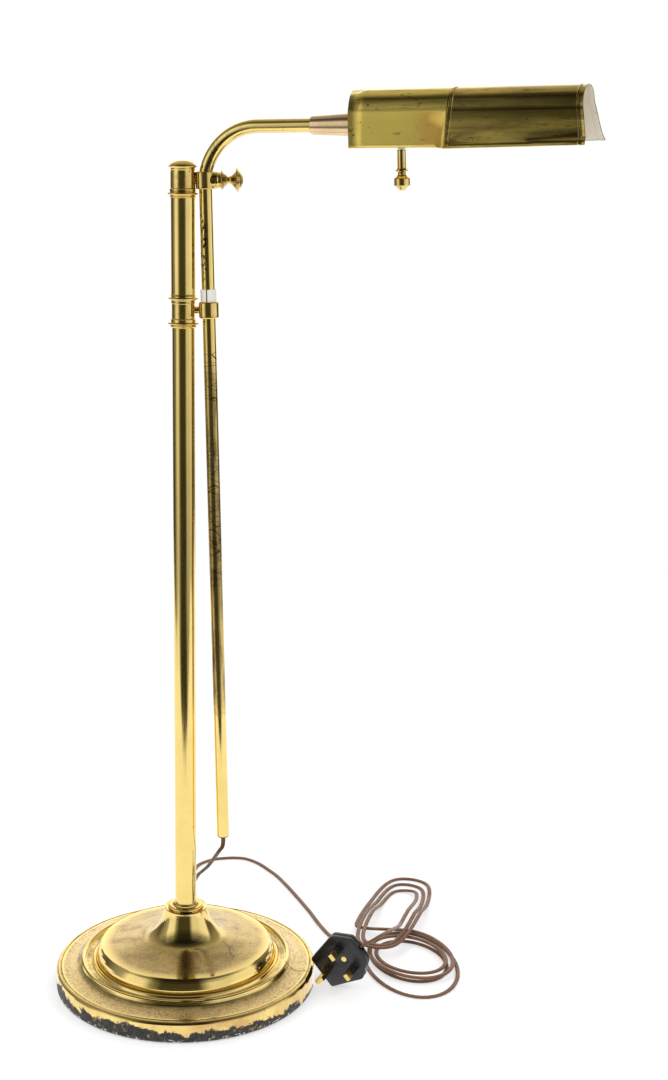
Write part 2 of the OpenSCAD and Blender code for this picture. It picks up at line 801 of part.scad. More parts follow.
cord_top_z = 150;
cord_sides = 8;
coil_sides = 6;
layer = 4.75;
turn_steps = 24;

// Where the free stretch runs: out of the rod, down behind the base and round to the plug
function rod_x(z) = rod_foot_x - tan(rod_lean) * z;

free_points = [
    [rod_x(cord_top_z), 0, cord_top_z], [rod_x(146), 0, 146], [rod_x(141), 0, 141],
    [33.7, 1, 135.5], [32.7, 5, 128.5], [30, 11, 122.5],
    [26, 26, 111.5], [20.5, 49, 95.5], [15, 66, 82], [9, 80, 71], [4, 91.5, 62], [-1, 108, 48],
    [-5, 126, 34], [-8, 146, 20], [-10, 168, 9], [-11, 190, 3], [-12, 212, 2], [-12, 232, 2],
    [-9, 249, 2], [-2, 259, 2], [7, 266, 2], [17, 269, 2], [27, 270.5, 2], [38, 269.5, 2],
    [47, 264, 2], [56, 255, 2], [65, 242, 2], [75, 226, 2], [84, 207, 2], [93, 186, 2],
    [102, 164, 2], [111, 141, 2], [119, 118, 2], [128, 96, 2], [135, 84, 2], [143.5, 75, 2],
    [153, 68, 2]
];
free_route = [for (p = smooth(free_points, 2)) [p[0], p[1], max(p[2], cord_r)]];

// The coil lies in two lobes of ovals. Each row is one oval, and the cord passes from a row
// to the next in one turn: its middle, half its length, half its width and its direction.
lower_ovals = [[209, 39, 79, 45, 101], [206, 45, 50, 34.5, 110], [206, 43, 37, 27.5, 125],
    [205, 42, 43.5, 34, 122], [206, 45, 60, 41, 108]];
upper_ovals = [[194, 136, 96, 31.5, 76], [193.3, 131.8, 87, 26, 76], [192.6, 127, 77, 20.5, 76],
    [190.6, 121, 66, 15.5, 76]];
lower_turns = 3.68;
upper_start = 0.21;
upper_turns = 2.78;

function eased(x) = let(c = max(0, min(1, x))) c * c * (3 - 2 * c);
function between(rows, t) =
    let(i = min(floor(t), len(rows) - 2)) rows[i] + (rows[i + 1] - rows[i]) * (t - i);
function on_oval(o, along, across, z) = [
    o[0] + along * cos(o[4]) - across * sin(o[4]), o[1] + along * sin(o[4]) + across * cos(o[4]), z];

// The lower lobe winds in on the floor, climbs a layer and winds out again
function lower_loop(t) =
    let(o = between(lower_ovals, t), a = 180 + 360 * t - o[4])
    on_oval(o, o[2] * cos(a), o[3] * sin(a), cord_r + layer * eased((t - 1.8) / 0.5));

// The upper lobe is long with round ends: it lies over the lower lobe and on the floor beyond
function upper_loop(t) =
    let(
        o = between(upper_ovals, t),
        a = 180 - 360 * t,
        blunt = 0.92 * sin(90 * max(-1, min(1, 1.15 * cos(a)))) + 0.08 * cos(a),
        flat = on_oval(o, (o[2] - o[3]) * blunt + o[3] * cos(a), o[3] * sin(a), cord_r),
        over = 1 - eased((flat[1] - 118) / 50)
    )
    flat + [0, 0, layer * (over * (t < 0.5 ? 1 : 2) + eased((t - 2.4) / 0.35))];

// A smooth run of n steps from the point a, heading ahead, to the point b, heading on
function link(a, ahead, b, on, n) = [for (i = [1:n - 1])
    let(t = i / n, t2 = t * t, t3 = t2 * t)
    (2 * t3 - 3 * t2 + 1) * a + (t3 - 2 * t2 + t) * ahead + (3 * t2 - 2 * t3) * b + (t3 - t2) * on];

lower_run = [for (i = [1:round(lower_turns * turn_steps)]) lower_loop(i / turn_steps)];
upper_run = [for (i = [round(upper_start * turn_steps):round(upper_turns * turn_steps)])
    upper_loop(i / turn_steps)];
lower_end = lower_run[len(lower_run) - 1];
lower_way = unit(lower_end - lower_run[len(lower_run) - 2]);
upper_end = upper_run[len(upper_run) - 1];
upper_way = unit(upper_end - upper_run[len(upper_run) - 2]);
cross_over = norm(upper_run[0] - lower_end) * 1.1;
plug_entry = at_plug([0, -plug_flat, cord_hole_z]);
plug_stub = at_plug([0, -plug_flat - cord_d - 0.5, cord_hole_z]);
last_run = norm(plug_stub - upper_end);
coil_route = concat(
    [[153, 68, 2], [157, 65, 2]],
    lower_run,
    link(lower_end, cross_over * lower_way, upper_run[0],
        cross_over * unit(upper_run[1] - upper_run[0]), 5),
    upper_run,
    link(upper_end, 0.5 * last_run * upper_way, plug_stub,
        1.2 * last_run * unit(plug_entry - plug_stub), 13),
    [plug_stub, at_plug([0, -plug_flat + cord_hole_depth, cord_hole_z])]);

// The least gap between two stretches of a route that are more than far apart along it
function least_gap(route, far, d) =
    min([for (i = [0:len(route) - far - 1], j = [i + far:len(route) - 1])
        norm(route[i] - route[j])]) - d;
function route_length(route) = total([for (i = [1:len(route) - 1]) norm(route[i] - route[i - 1])]);

module cord_free() {
    color(flex_brown) swept(free_route, cord_r, cord_sides);
}

module cord_coil() {
    fine = smooth(coil_route, 3);
    echo(least_gap_mm = least_gap(fine, 14, cord_d),
        cord_length_mm = route_length(fine) + route_length(free_route));
    color(flex_brown) swept(coil_route, cord_r, coil_sides);
}

// The plug's own frame: its pin face is the plane z = 0, its pins point down -Z
module on_plug() {
    translate(plug_place) rotate(plug_lean) children();
}

module block(w, t, z0, z1) {
    translate([-w / 2, -t / 2, z0]) cube([w, t, z1 - z0]);
}

module plug_base() {
    color(black)
        on_plug()
            difference() {
                linear_extrude(plug_face_t) polygon(plug_outline);
                translate([0, 3, -1]) cylinder(r = 2.6, h = plug_face_t + 2, $fn = 48);
                for (x = [-1, 1])
                    translate([x * pin_gap, 0, 0])
                        block(pin_w - pin_core, pin_t - pin_core, -1, pocket);
                translate([0, earth_pin_y, 0]) block(4, 8, -1, pocket);
            }
}

module plug_cover() {
    color(black)
        on_plug()
            difference() {
                hull() {
                    translate([0, 0, plug_face_t + 0.05]) linear_extrude(5) polygon(plug_outline);
                    translate([0, 1, plug_back - 1]) linear_extrude(1)
                        scale([0.8, 0.8]) polygon(plug_outline);
                }
                translate([-9, -10, plug_face_t - 1]) cube([18, 34, 8]);
                translate([0, cord_hole_depth - plug_flat, cord_hole_z]) rotate([90, 0, 0])
                    cylinder(r = cord_r + 0.2, h = 20, $fn = 48);
            }
}

module plug_screw() {
    color(brass)
        on_plug()
            translate([0, 3, 0.6]) {
                cylinder(r = 2.5, h = 1.6, $fn = 48);
                cylinder(r = 1.4, h = 9, $fn = 48);
            }
}

module live_pins() {
    color(brass)
        on_plug()
            for (x = [-1, 1])
                translate([x * pin_gap, 0, 0]) {
                    block(pin_w, pin_t, -17.7, -sleeve_l);
                    block(pin_w - pin_core - 0.04, pin_t - pin_core - 0.04, -sleeve_l - 1, pocket);
                }
}

module earth_pin() {
    color(brass) on_plug() translate([0, earth_pin_y, 0]) block(3.96, 7.96, -22.7, pocket);
}

module pin_sleeves() {
    color(black)
        on_plug()
            for (x = [-1, 1])
                translate([x * pin_gap, 0, 0])
                    difference() {
                        block(pin_w, pin_t, -sleeve_l, 0);
                        block(pin_w - pin_core, pin_t - pin_core, -sleeve_l - 1, 1);
                    }
}

module plug_fuse() {
    color([0.85, 0.83, 0.78])
        on_plug()
            translate([5.5, -6, plug_face_t + 3.1]) rotate([-90, 0, 0])
                cylinder(r = 2.9, h = 25, $fn = 48);
}

module cord_clamp() {
    color([0.75, 0.7, 0.6])
        on_plug() translate([-8.5, -9.5, plug_face_t + 0.05]) cube([10, 5, 1.2]);
}

base_pad();
base_weight();
base_shell();
base_washer();
base_nut();
tie_rod();
neck_ring();
post_tube();
lower_collar();
upper_tube();
upper_collar();
top_cap();
lower_eye();
nylon_bush();
upper_eye();
clamp_collar();
screw_shank();
thumb_screw();
rod_grommet();
rod_tube();
arm_tube();
inner_flex();
arm_ferrule();
swivel_ring();
swivel_nipple();
swivel_nut();
end_plate();
shade_housing();
shade_hood();
socket_cup();
lampholder();
bulb_cap();
bulb_glass();
switch_body();
switch_bush();
switch_knob();
cord_free();
cord_coil();
plug_base();
plug_cover();
plug_screw();
live_pins();
earth_pin();
pin_sleeves();
plug_fuse();
cord_clamp();
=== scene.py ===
import math

import bmesh
import bpy
from bpy.props import FloatProperty, FloatVectorProperty, PointerProperty
from bpy.types import Operator, Panel, PropertyGroup
from mathutils import Matrix, Vector


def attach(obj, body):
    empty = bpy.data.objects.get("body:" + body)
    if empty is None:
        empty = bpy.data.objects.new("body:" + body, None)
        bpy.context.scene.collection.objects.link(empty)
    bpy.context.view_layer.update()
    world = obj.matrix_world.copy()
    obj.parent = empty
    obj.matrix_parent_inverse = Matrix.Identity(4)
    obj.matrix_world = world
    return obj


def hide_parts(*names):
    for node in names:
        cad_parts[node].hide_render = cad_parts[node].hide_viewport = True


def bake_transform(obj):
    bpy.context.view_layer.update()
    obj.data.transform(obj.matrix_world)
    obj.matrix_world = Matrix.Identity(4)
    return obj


bl_info = {
    "name": "Bridge floor lamp",
    "version": (1, 0, 0),
    "blender": (4, 5, 0),
    "location": "View3D > Sidebar > Lamp",
    "description": "Dresses a bridge floor lamp: aged brass, trough shade, flex and plug",
    "category": "Object",
}

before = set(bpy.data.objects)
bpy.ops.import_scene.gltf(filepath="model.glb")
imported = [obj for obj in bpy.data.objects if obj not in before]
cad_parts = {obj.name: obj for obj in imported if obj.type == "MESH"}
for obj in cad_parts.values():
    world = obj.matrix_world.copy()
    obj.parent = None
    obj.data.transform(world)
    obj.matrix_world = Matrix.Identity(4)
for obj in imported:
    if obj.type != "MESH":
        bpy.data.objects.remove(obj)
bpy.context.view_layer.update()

MM = 0.001

# Where the rod stands and how it leans, and the arm's bend and direction, in millimetres and
# degrees: the same as the solids'
ROD_FOOT_X = 37.27
ROD_LEAN = 1.5
ARM_TURN = 21.5
BEND_Z = 718.6
BEND_FIRST_R = 23.0
BEND_FIRST = 16.4
BEND_SECOND_R = 48.9
BEND_ALL = 89.7
SHADE_TURN = 2.1


def turned_to(axis, degrees):
    return Matrix.Rotation(math.radians(degrees), 4, axis)


def rod_frame():
    return Matrix.Translation((ROD_FOOT_X, 0, 0)) @ turned_to("Y", -ROD_LEAN)


def arm_frame():
    first, whole = math.radians(BEND_FIRST), math.radians(BEND_ALL)
    end_x = BEND_FIRST_R * (1 - math.cos(first)) + BEND_SECOND_R * (math.cos(first) - math.cos(whole))
    end_z = BEND_FIRST_R * math.sin(first) + BEND_SECOND_R * (math.sin(whole) - math.sin(first))
    return (
        rod_frame()
        @ Matrix.Translation((0, 0, BEND_Z))
        @ turned_to("Z", -ARM_TURN)
        @ Matrix.Translation((end_x, 0, end_z))
        @ turned_to("Y", BEND_ALL - 90)
    )


def shade_frame():
    return arm_frame() @ turned_to("X", SHADE_TURN)


# ---- sizes and colours that a user would change ----


class BrassLook(PropertyGroup):
    polished: FloatVectorProperty(
        name="Polished brass", description="Colour of clean, polished brass",
        subtype="COLOR", size=3, min=0, max=1, default=(0.86, 0.66, 0.235),
    )
    aged: FloatVectorProperty(
        name="Aged brass", description="Colour of brass under old, dull lacquer",
        subtype="COLOR", size=3, min=0, max=1, default=(0.66, 0.50, 0.155),
    )
    copper: FloatVectorProperty(
        name="Copper-toned brass", description="Colour of the ferrule",
        subtype="COLOR", size=3, min=0, max=1, default=(0.80, 0.60, 0.37),
    )
    tarnish: FloatVectorProperty(
        name="Tarnish", description="Colour of the brown tarnish",
        subtype="COLOR", size=3, min=0, max=1, default=(0.13, 0.085, 0.035),
    )
    corrosion: FloatVectorProperty(
        name="Corrosion", description="Colour of the black corrosion on the base's side",
        subtype="COLOR", size=3, min=0, max=1, default=(0.016, 0.015, 0.016),
    )


class FlexSizes(PropertyGroup):
    width: FloatProperty(
        name="Width", description="Width across the flex's two strands",
        subtype="DISTANCE", unit="LENGTH", min=0.003, max=0.006, default=0.004,
    )
    thickness: FloatProperty(
        name="Thickness", description="Thickness of one strand with its sheath",
        subtype="DISTANCE", unit="LENGTH", min=0.0018, max=0.004, default=0.0024,
    )
    length: FloatProperty(
        name="Length", description="Length from the rod's foot to the plug",
        subtype="DISTANCE", unit="LENGTH", min=2.5, max=3.2, default=2.82,
    )
    colour: FloatVectorProperty(
        name="Sheath", description="Colour of the flex's sheath",
        subtype="COLOR", size=3, min=0, max=1, default=(0.145, 0.066, 0.031),
    )


class ShadeSizes(PropertyGroup):
    sheet: FloatProperty(
        name="Sheet", description="Thickness of the shade's pressed sheet",
        subtype="DISTANCE", unit="LENGTH", min=0.0006, max=0.0012, default=0.0009,
    )
    bead: FloatProperty(
        name="Bead", description="Height of the pressed beads",
        subtype="DISTANCE", unit="LENGTH", min=0.0002, max=0.001, default=0.0006,
    )
    enamel: FloatVectorProperty(
        name="Enamel", description="Colour of the enamel inside",
        subtype="COLOR", size=3, min=0, max=1, default=(0.92, 0.83, 0.68),
    )


class StudioLook(PropertyGroup):
    floor: FloatVectorProperty(
        name="Floor", description="Colour of the floor",
        subtype="COLOR", size=3, min=0, max=1, default=(0.55, 0.55, 0.55),
    )
    key: FloatProperty(
        name="Key light", description="Power of the large soft light",
        subtype="POWER", unit="POWER", min=0, max=200, default=9.0,
    )
    fill: FloatProperty(
        name="Fill", description="Level of the even light from all round",
        min=0, max=2, default=0.75,
    )


def brass_look():
    return bpy.context.scene.lamp_brass


# ---- materials ----


class Nodes:
    """A node tree that is put together line by line."""

    def __init__(self, tree):
        self.tree = tree

    def node(self, kind, **settings):
        made = self.tree.nodes.new(kind)
        for name, value in settings.items():
            setattr(made, name, value)
        return made

    def put(self, value, socket):
        """Links another socket to this one, or writes a number or a colour in it."""
        if isinstance(value, bpy.types.NodeSocket):
            self.tree.links.new(value, socket)
        elif hasattr(value, "__len__"):
            whole = len(value) == len(socket.default_value)
            socket.default_value = tuple(value) if whole else (*value, 1)
        else:
            socket.default_value = value

    def math(self, operation, a, b=0.0, clamp=False):
        made = self.node("ShaderNodeMath", operation=operation, use_clamp=clamp)
        self.put(a, made.inputs[0])
        self.put(b, made.inputs[1])
        return made.outputs[0]

    def plus(self, first, *others):
        for other in others:
            first = self.math("ADD", first, other)
        return first

    def times(self, first, *others):
        for other in others:
            first = self.math("MULTIPLY", first, other)
        return first

    def either(self, first, *others):
        for other in others:
            first = self.math("MAXIMUM", first, other)
        return first

    def ramp(self, factor, *stops):
        """Stops are (position, tone), where a tone is a grey level or a colour."""
        made = self.node("ShaderNodeValToRGB")
        self.put(factor, made.inputs[0])
        line = made.color_ramp
        while len(line.elements) < len(stops):
            line.elements.new(0.5)
        for element, (position, tone) in zip(line.elements, stops):
            element.position = position
            element.color = (*tone, 1) if isinstance(tone, tuple) else (tone, tone, tone, 1)
        return made.outputs[0]

    def mix(self, factor, a, b, how="MIX"):
        made = self.node("ShaderNodeMix", data_type="RGBA", blend_type=how)
        self.put(factor, made.inputs[0])
        self.put(a, made.inputs[6])
        self.put(b, made.inputs[7])
        return made.outputs[2]

    def blend(self, factor, a, b):
        made = self.node("ShaderNodeMix", data_type="FLOAT")
        self.put(factor, made.inputs[0])
        self.put(a, made.inputs[2])
        self.put(b, made.inputs[3])
        return made.outputs[0]


class Finish(Nodes):
    """A node material round one Principled shader. Its patterns lie on Object coordinates."""

    def __init__(self, name):
        self.material = bpy.data.materials.new(name)
        self.material.use_nodes = True
        super().__init__(self.material.node_tree)
        self.shader = self.tree.nodes["Principled BSDF"]
        self.place = self.node("ShaderNodeTexCoord").outputs["Object"]

    def set(self, **values):
        for name, value in values.items():
            self.put(value, self.shader.inputs[name.replace("_", " ")])

    def moved(self, scale=(1, 1, 1), turn=(0, 0, 0), at=None):
        made = self.node("ShaderNodeMapping")
        self.put(self.place if at is None else at, made.inputs["Vector"])
        made.inputs["Scale"].default_value = scale
        made.inputs["Rotation"].default_value = [math.radians(a) for a in turn]
        return made.outputs["Vector"]

    def noise(self, per_metre, detail=4.0, rough=0.55, at=None, warp=0.0):
        """Noise with so many waves to the metre, or 1 where at is already scaled."""
        made = self.node("ShaderNodeTexNoise")
        self.put(self.place if at is None else at, made.inputs["Vector"])
        made.inputs["Scale"].default_value = per_metre
        made.inputs["Detail"].default_value = detail
        made.inputs["Roughness"].default_value = rough
        made.inputs["Distortion"].default_value = warp
        return made.outputs["Fac"]

    def wander(self, noise, reach):
        """Noise as a distance, as far to one side as to the other."""
        return self.times(self.math("SUBTRACT", noise, 0.5), reach)

    def cell_edges(self, at):
        """The distance from the edges of irregular cells."""
        made = self.node("ShaderNodeTexVoronoi", feature="DISTANCE_TO_EDGE")
        self.put(at, made.inputs["Vector"])
        made.inputs["Scale"].default_value = 1
        return made.outputs["Distance"]

    def parts(self, vector=None):
        made = self.node("ShaderNodeSeparateXYZ")
        self.put(self.place if vector is None else vector, made.inputs[0])
        return made.outputs

    def radius(self):
        x, y, _ = self.parts()
        return self.math("SQRT", self.plus(self.times(x, x), self.times(y, y)))

    def band(self, value, low, high, soft):
        """1 between low and high, falling off over soft on each side."""
        rise = self.math("DIVIDE", self.math("SUBTRACT", value, low), soft, clamp=True)
        fall = self.math("DIVIDE", self.math("SUBTRACT", high, value), soft, clamp=True)
        return self.times(rise, fall)

    def bump(self, height, distance, strength):
        made = self.node("ShaderNodeBump")
        made.inputs["Strength"].default_value = strength
        made.inputs["Distance"].default_value = distance
        self.put(height, made.inputs["Height"])
        self.put(made.outputs[0], self.shader.inputs["Normal"])


finished = {}


def finish(name, make, *args):
    """The material of that name, made once."""
    if name not in finished:
        made = Finish(name)
        make(made, *args)
        finished[name] = made.material
    return finished[name]


# How much of each colour is left where turned brass is worn
WORN_SHARE = (0.72, 0.64, 0.5)


def turned_brass(f, colour=None, rough=0.1, specks=0.5, scratch=0.12):
    """Polished brass from a lathe: fine rings, small dark specks and cloudy wear."""
    look = brass_look()
    colour = tuple(look.polished if colour is None else colour)
    worn = [c * share for c, share in zip(colour, WORN_SHARE)]
    cloud = f.noise(45, 5)
    speck = f.ramp(f.noise(620, 2, 0.6), (0.66 - 0.06 * specks, 0), (0.74, 1))
    grime = f.ramp(f.noise(120, 6, 0.7, warp=0.4), (0.55, 0), (0.82, 0.7))
    tone = f.mix(f.ramp(cloud, (0.3, 0), (0.75, 0.75)), colour, worn)
    tone = f.mix(f.times(grime, specks), tone, look.tarnish)
    tone = f.mix(f.times(speck, specks), tone, look.tarnish)
    dull = f.times(f.either(speck, grime), 0.3)
    f.set(
        Base_Color=tone,
        Metallic=1.0,
        Roughness=f.plus(f.ramp(cloud, (0.2, rough), (0.8, rough + 0.13)), dull),
    )
    rings = f.noise(1, 2, at=f.moved((300, 300, 2600)))
    f.bump(f.plus(f.times(f.noise(900, 3), 0.6), rings), 0.00002, scratch)


def tube_brass(f):
    """Drawn tube: long faint streaks, pale specks and a few vertical lines of tarnish."""
    look = brass_look()
    streak = f.noise(1, 5, 0.6, at=f.moved((420, 420, 9)))
    line = f.ramp(f.noise(1, 2, 0.5, at=f.moved((260, 260, 2.2))), (0.64, 0), (0.69, 1))
    speck = f.ramp(f.noise(480, 3, 0.65), (0.68, 0), (0.75, 1))
    cloud = f.noise(26, 6, 0.6, warp=0.3)
    tone = f.mix(f.ramp(cloud, (0.35, 0), (0.8, 0.55)), look.polished, look.aged)
    tone = f.mix(f.times(line, 0.45), tone, look.tarnish)
    tone = f.mix(f.times(speck, 0.6), tone, look.tarnish)
    dull = f.times(f.either(speck, line), 0.2)
    f.set(
        Base_Color=tone,
        Metallic=1.0,
        Roughness=f.plus(f.ramp(streak, (0.3, 0.09), (0.8, 0.2)), dull),
    )
    f.bump(f.plus(streak, f.times(speck, -0.6)), 0.00002, 0.25)


# The rod's stains, cracks, specks and painted dark reflection: where each band starts and ends and how
# softly, in metres.
# The first three are heights over the floor, and the last holds the specks to the rod's left side.
# The long dark band is brown and black stain and also a painted dark reflection
ROD_DARK = (0.252, 0.562, 0.022)
ROD_CRACKED = (0.25, 0.60, 0.02)
ROD_SPECKED = (0.625, 0.705, 0.03)
ROD_LEFT = (0.0, 0.0215, 0.003)
ROD_RAGGED = 0.07
ROD_BROWN = (0.30, 0.20, 0.065)
ROD_BLACK = (0.05, 0.034, 0.016)
ROD_CRACK = (0.035, 0.024, 0.012)


def rod_brass(f):
    """The sliding rod: specks above, a long brown and black stretch below of stain and painted dark
    reflection, clean at its foot.
    """
    look = brass_look()
    x, _, z = f.parts()
    dark = f.band(f.plus(z, f.wander(f.noise(26, 5, 0.65), ROD_RAGGED)), *ROD_DARK)
    worn = f.ramp(f.noise(1, 6, 0.7, at=f.moved((170, 170, 26))), (0.36, 1), (0.6, 0.35))
    crack = f.ramp(f.cell_edges(f.moved((48, 48, 150))), (0.0, 1), (0.035, 0))
    cracked = f.ramp(f.noise(1, 2, at=f.moved((8, 8, 22))), (0.44, 0), (0.52, 1))
    crack = f.times(crack, f.band(z, *ROD_CRACKED), cracked)
    speck = f.ramp(f.noise(1, 4, 0.7, at=f.moved((460, 460, 260))), (0.51, 0), (0.56, 1))
    speck = f.times(speck, f.band(z, *ROD_SPECKED), f.band(x, *ROD_LEFT))
    # The dark stretch is stain and painted dark reflection; the specks and cracks join it
    stain_and_reflection = f.either(f.times(dark, worn), speck, crack)
    tone = f.mix(f.ramp(f.noise(30, 5), (0.35, 0), (0.75, 0.6)), look.polished, look.aged)
    blacker = f.ramp(f.noise(1, 5, 0.6, at=f.moved((220, 220, 30))), (0.4, 0), (0.65, 1))
    tone = f.mix(stain_and_reflection, tone, f.mix(blacker, ROD_BROWN, ROD_BLACK))
    tone = f.mix(f.either(crack, speck), tone, ROD_CRACK)
    f.set(
        Base_Color=tone,
        Metallic=f.blend(stain_and_reflection, 1.0, 0.9),
        Roughness=f.blend(stain_and_reflection, 0.1, 0.2),
    )
    f.bump(f.plus(f.times(stain_and_reflection, -1.0), f.times(f.noise(400, 4), 0.3)), 0.00004, 0.3)


# The base's shell: the inner and outer radius of each band and how softly it ends, in metres
RIM_FLAT = (0.0965, 0.111, 0.0012)
TOP_FLAT = (0.030, 0.0742, 0.008)
BEAD_HOLLOWS = ((0.0935, 0.0995, 0.0025), (0.0845, 0.0905, 0.0014), (0.1115, 0.1145, 0.001))
BASE_SIDE = (0.1145, 0.13, 0.0005)
BASE_FOOT = (0.1135, 0.13, 0.0005)
WARM_BRASS = (0.80, 0.57, 0.24)
RED_BRASS = (0.52, 0.31, 0.12)
RIM_SATIN = (0.80, 0.60, 0.34)
TOP_PATINA = (0.38, 0.27, 0.12)
BROWN_SPECKLE = (0.20, 0.12, 0.05)
GREY_TARNISH = (0.10, 0.085, 0.065)

# Two old stain lines. Each leans, wanders, keeps to a narrow band and runs between two places.
STAIN_WANDER = 0.014
RIM_LINE_LEAN, RIM_LINE, RIM_LINE_RUN = 0.10, (-0.0095, -0.0070, 0.0010), (0.088, 0.118, 0.004)
TOP_LINE_LEAN, TOP_LINE, TOP_LINE_RUN = 0.55, (0.0250, 0.0275, 0.0012), (-0.045, 0.03, 0.012)
TOP_LINE_REACH = (0.036, 0.074, 0.002)
TOP_LINE_WANDER = 1.6
STAIN_LINE = (0.06, 0.04, 0.02)

# Black corrosion on the side: its greatest height, how far its edge strays coarsely and finely,
# and how sharp that edge is. White chips lie at the very foot.
CORROSION_TOP = 0.0124
CORROSION_STRAY, CORROSION_FRAY = 0.034, 0.008
CORROSION_SHARP = 700.0
CHIP_HEIGHT = (-0.01, 0.0042, 0.0006)
CORROSION_DUST = (0.07, 0.06, 0.05)
WHITE_CHIP = (0.75, 0.74, 0.70)


def stain_lines(f, r, x, y):
    """Where the two old stain lines lie, one on the flat rim and one across the top."""
    stray = f.wander(f.noise(60, 4, 0.6), STAIN_WANDER)
    over_rim = f.plus(y, f.times(x, RIM_LINE_LEAN), stray)
    over_top = f.plus(x, f.times(y, TOP_LINE_LEAN), f.times(stray, TOP_LINE_WANDER))
    on_rim = f.times(f.band(over_rim, *RIM_LINE), f.band(x, *RIM_LINE_RUN))
    on_top = f.times(f.band(over_top, *TOP_LINE), f.band(y, *TOP_LINE_RUN), f.band(r, *TOP_LINE_REACH))
    return f.either(on_rim, on_top)


def side_corrosion(f, r, x, y, z):
    """Where black corrosion creeps up the side: highest at the front, with gaps in it."""
    stray = f.wander(f.noise(34, 7, 0.62, warp=0.6), CORROSION_STRAY)
    fray = f.wander(f.noise(260, 4, 0.7), CORROSION_FRAY)
    frontness = f.plus(f.times(y, -3.6), f.times(x, -2.4), 0.5)
    top = f.times(f.ramp(frontness, (0.30, 0.25), (0.62, 0.85), (0.9, 1.0)), CORROSION_TOP)
    below = f.math("SUBTRACT", top, f.plus(z, stray, fray))
    black = f.math("MULTIPLY", below, CORROSION_SHARP, clamp=True)
    gaps = f.ramp(f.noise(150, 5, 0.7), (0.28, 0.3), (0.42, 1))
    return f.times(black, f.band(r, *BASE_FOOT), gaps)


def spun_brass(f):
    """The base's spun shell: polished walls, satin speckled flats and black corrosion at its foot."""
    look = brass_look()
    r, (x, y, z) = f.radius(), f.parts()
    # the flats between the beads are satin, and so is the dished top inside its sharp edge
    rim_flat, top_flat = f.band(r, *RIM_FLAT), f.band(r, *TOP_FLAT)
    flat = f.either(rim_flat, f.times(top_flat, 0.75))
    cloud = f.noise(28, 6, 0.65, warp=0.5)
    speckle = f.ramp(f.noise(620, 5, 0.8), (0.45, 0), (0.6, 1))
    patch = f.ramp(f.noise(42, 6, 0.7, warp=0.6), (0.42, 0), (0.62, 1))
    tone = f.mix(f.ramp(cloud, (0.35, 0), (0.8, 0.5)), look.polished, WARM_BRASS)
    tone = f.mix(f.times(rim_flat, 0.5), tone, RIM_SATIN)
    tone = f.mix(f.times(top_flat, f.ramp(patch, (0.0, 0.6), (1.0, 0.95))), tone, TOP_PATINA)
    speckled = f.times(flat, speckle, f.ramp(patch, (0.0, 0.45), (1.0, 0.9)))
    tone = f.mix(speckled, tone, BROWN_SPECKLE)
    # grey tarnish lies in the hollows beside the beads
    hollow = f.either(*[f.band(r, *bounds) for bounds in BEAD_HOLLOWS])
    hollow = f.times(hollow, f.ramp(f.noise(60, 5, 0.7), (0.35, 0.15), (0.65, 0.9)))
    tone = f.mix(f.times(hollow, 0.75), tone, GREY_TARNISH)
    pit = f.ramp(f.noise(330, 2, 0.5), (0.71, 0), (0.76, 1))
    tone = f.mix(f.times(pit, 0.8), tone, look.tarnish)
    tone = f.mix(f.times(stain_lines(f, r, x, y), 0.7), tone, STAIN_LINE)
    reddened = f.ramp(f.noise(24, 5, 0.65, warp=0.4), (0.42, 0), (0.66, 0.8))
    tone = f.mix(f.times(f.band(r, *BASE_SIDE), reddened), tone, RED_BRASS)
    black = side_corrosion(f, r, x, y, z)
    crust = f.ramp(f.noise(420, 4), (0.4, 0), (0.7, 1))
    tone = f.mix(black, tone, f.mix(crust, look.corrosion, CORROSION_DUST))
    chip = f.ramp(f.noise(170, 5, 0.75), (0.56, 0), (0.6, 1))
    chip = f.times(f.band(z, *CHIP_HEIGHT), chip, f.band(r, *BASE_FOOT))
    tone = f.mix(chip, tone, WHITE_CHIP)
    bare = f.either(black, chip)
    rough = f.ramp(cloud, (0.3, 0.06), (0.8, 0.14))
    rough = f.blend(top_flat, rough, f.ramp(patch, (0.0, 0.13), (1.0, 0.24)))
    rough = f.blend(rim_flat, rough, f.ramp(f.noise(1500, 3, 0.7), (0.3, 0.24), (0.7, 0.36)))
    rough = f.blend(hollow, rough, 0.4)
    rough = f.blend(bare, rough, 0.6)
    f.set(Base_Color=tone, Metallic=f.blend(bare, 1.0, 0.1), Roughness=rough)
    relief = f.plus(f.times(speckle, flat, -0.35), f.times(black, f.noise(500, 4), 2.0))
    f.bump(relief, 0.00010, 0.3)


# The shade's sheet: bands along it and up it in its own frame, in metres
ROOF_BAND = (0.0105, 0.05, 0.002)
WARM_RUN, WARM_BAND = (0.138, 0.17, 0.012), (-0.03, 0.0095, 0.001)
BLOTCH_RUN, BLOTCH_BAND = (0.175, 0.262, 0.02), (-0.016, 0.006, 0.006)
# Where the hood's painted dark reflection runs, up its side
PAINTED_REFLECTION_BAND = (-0.001, 0.0165, 0.006)
HOUSING_BRASS, HOUSING_CLOUD = (0.98, 0.78, 0.19), (0.84, 0.63, 0.15)
# The roof's dark colour is for its streaks and for a painted dark reflection
HOUSING_WARM, ROOF_STREAK_AND_REFLECTION = (0.86, 0.52, 0.12), (0.22, 0.16, 0.06)
HOOD_BRASS, HOOD_AGED_SHARE = (0.74, 0.56, 0.15), 0.7
HOOD_BLOTCH, HOOD_STREAK = (0.20, 0.085, 0.03), (0.15, 0.105, 0.032)
# Colour of the hood's painted dark reflection
HOOD_PAINTED_REFLECTION = (0.10, 0.078, 0.018)
WAVY_MARK, SHEET_PIT = (0.08, 0.055, 0.02), (0.05, 0.035, 0.02)


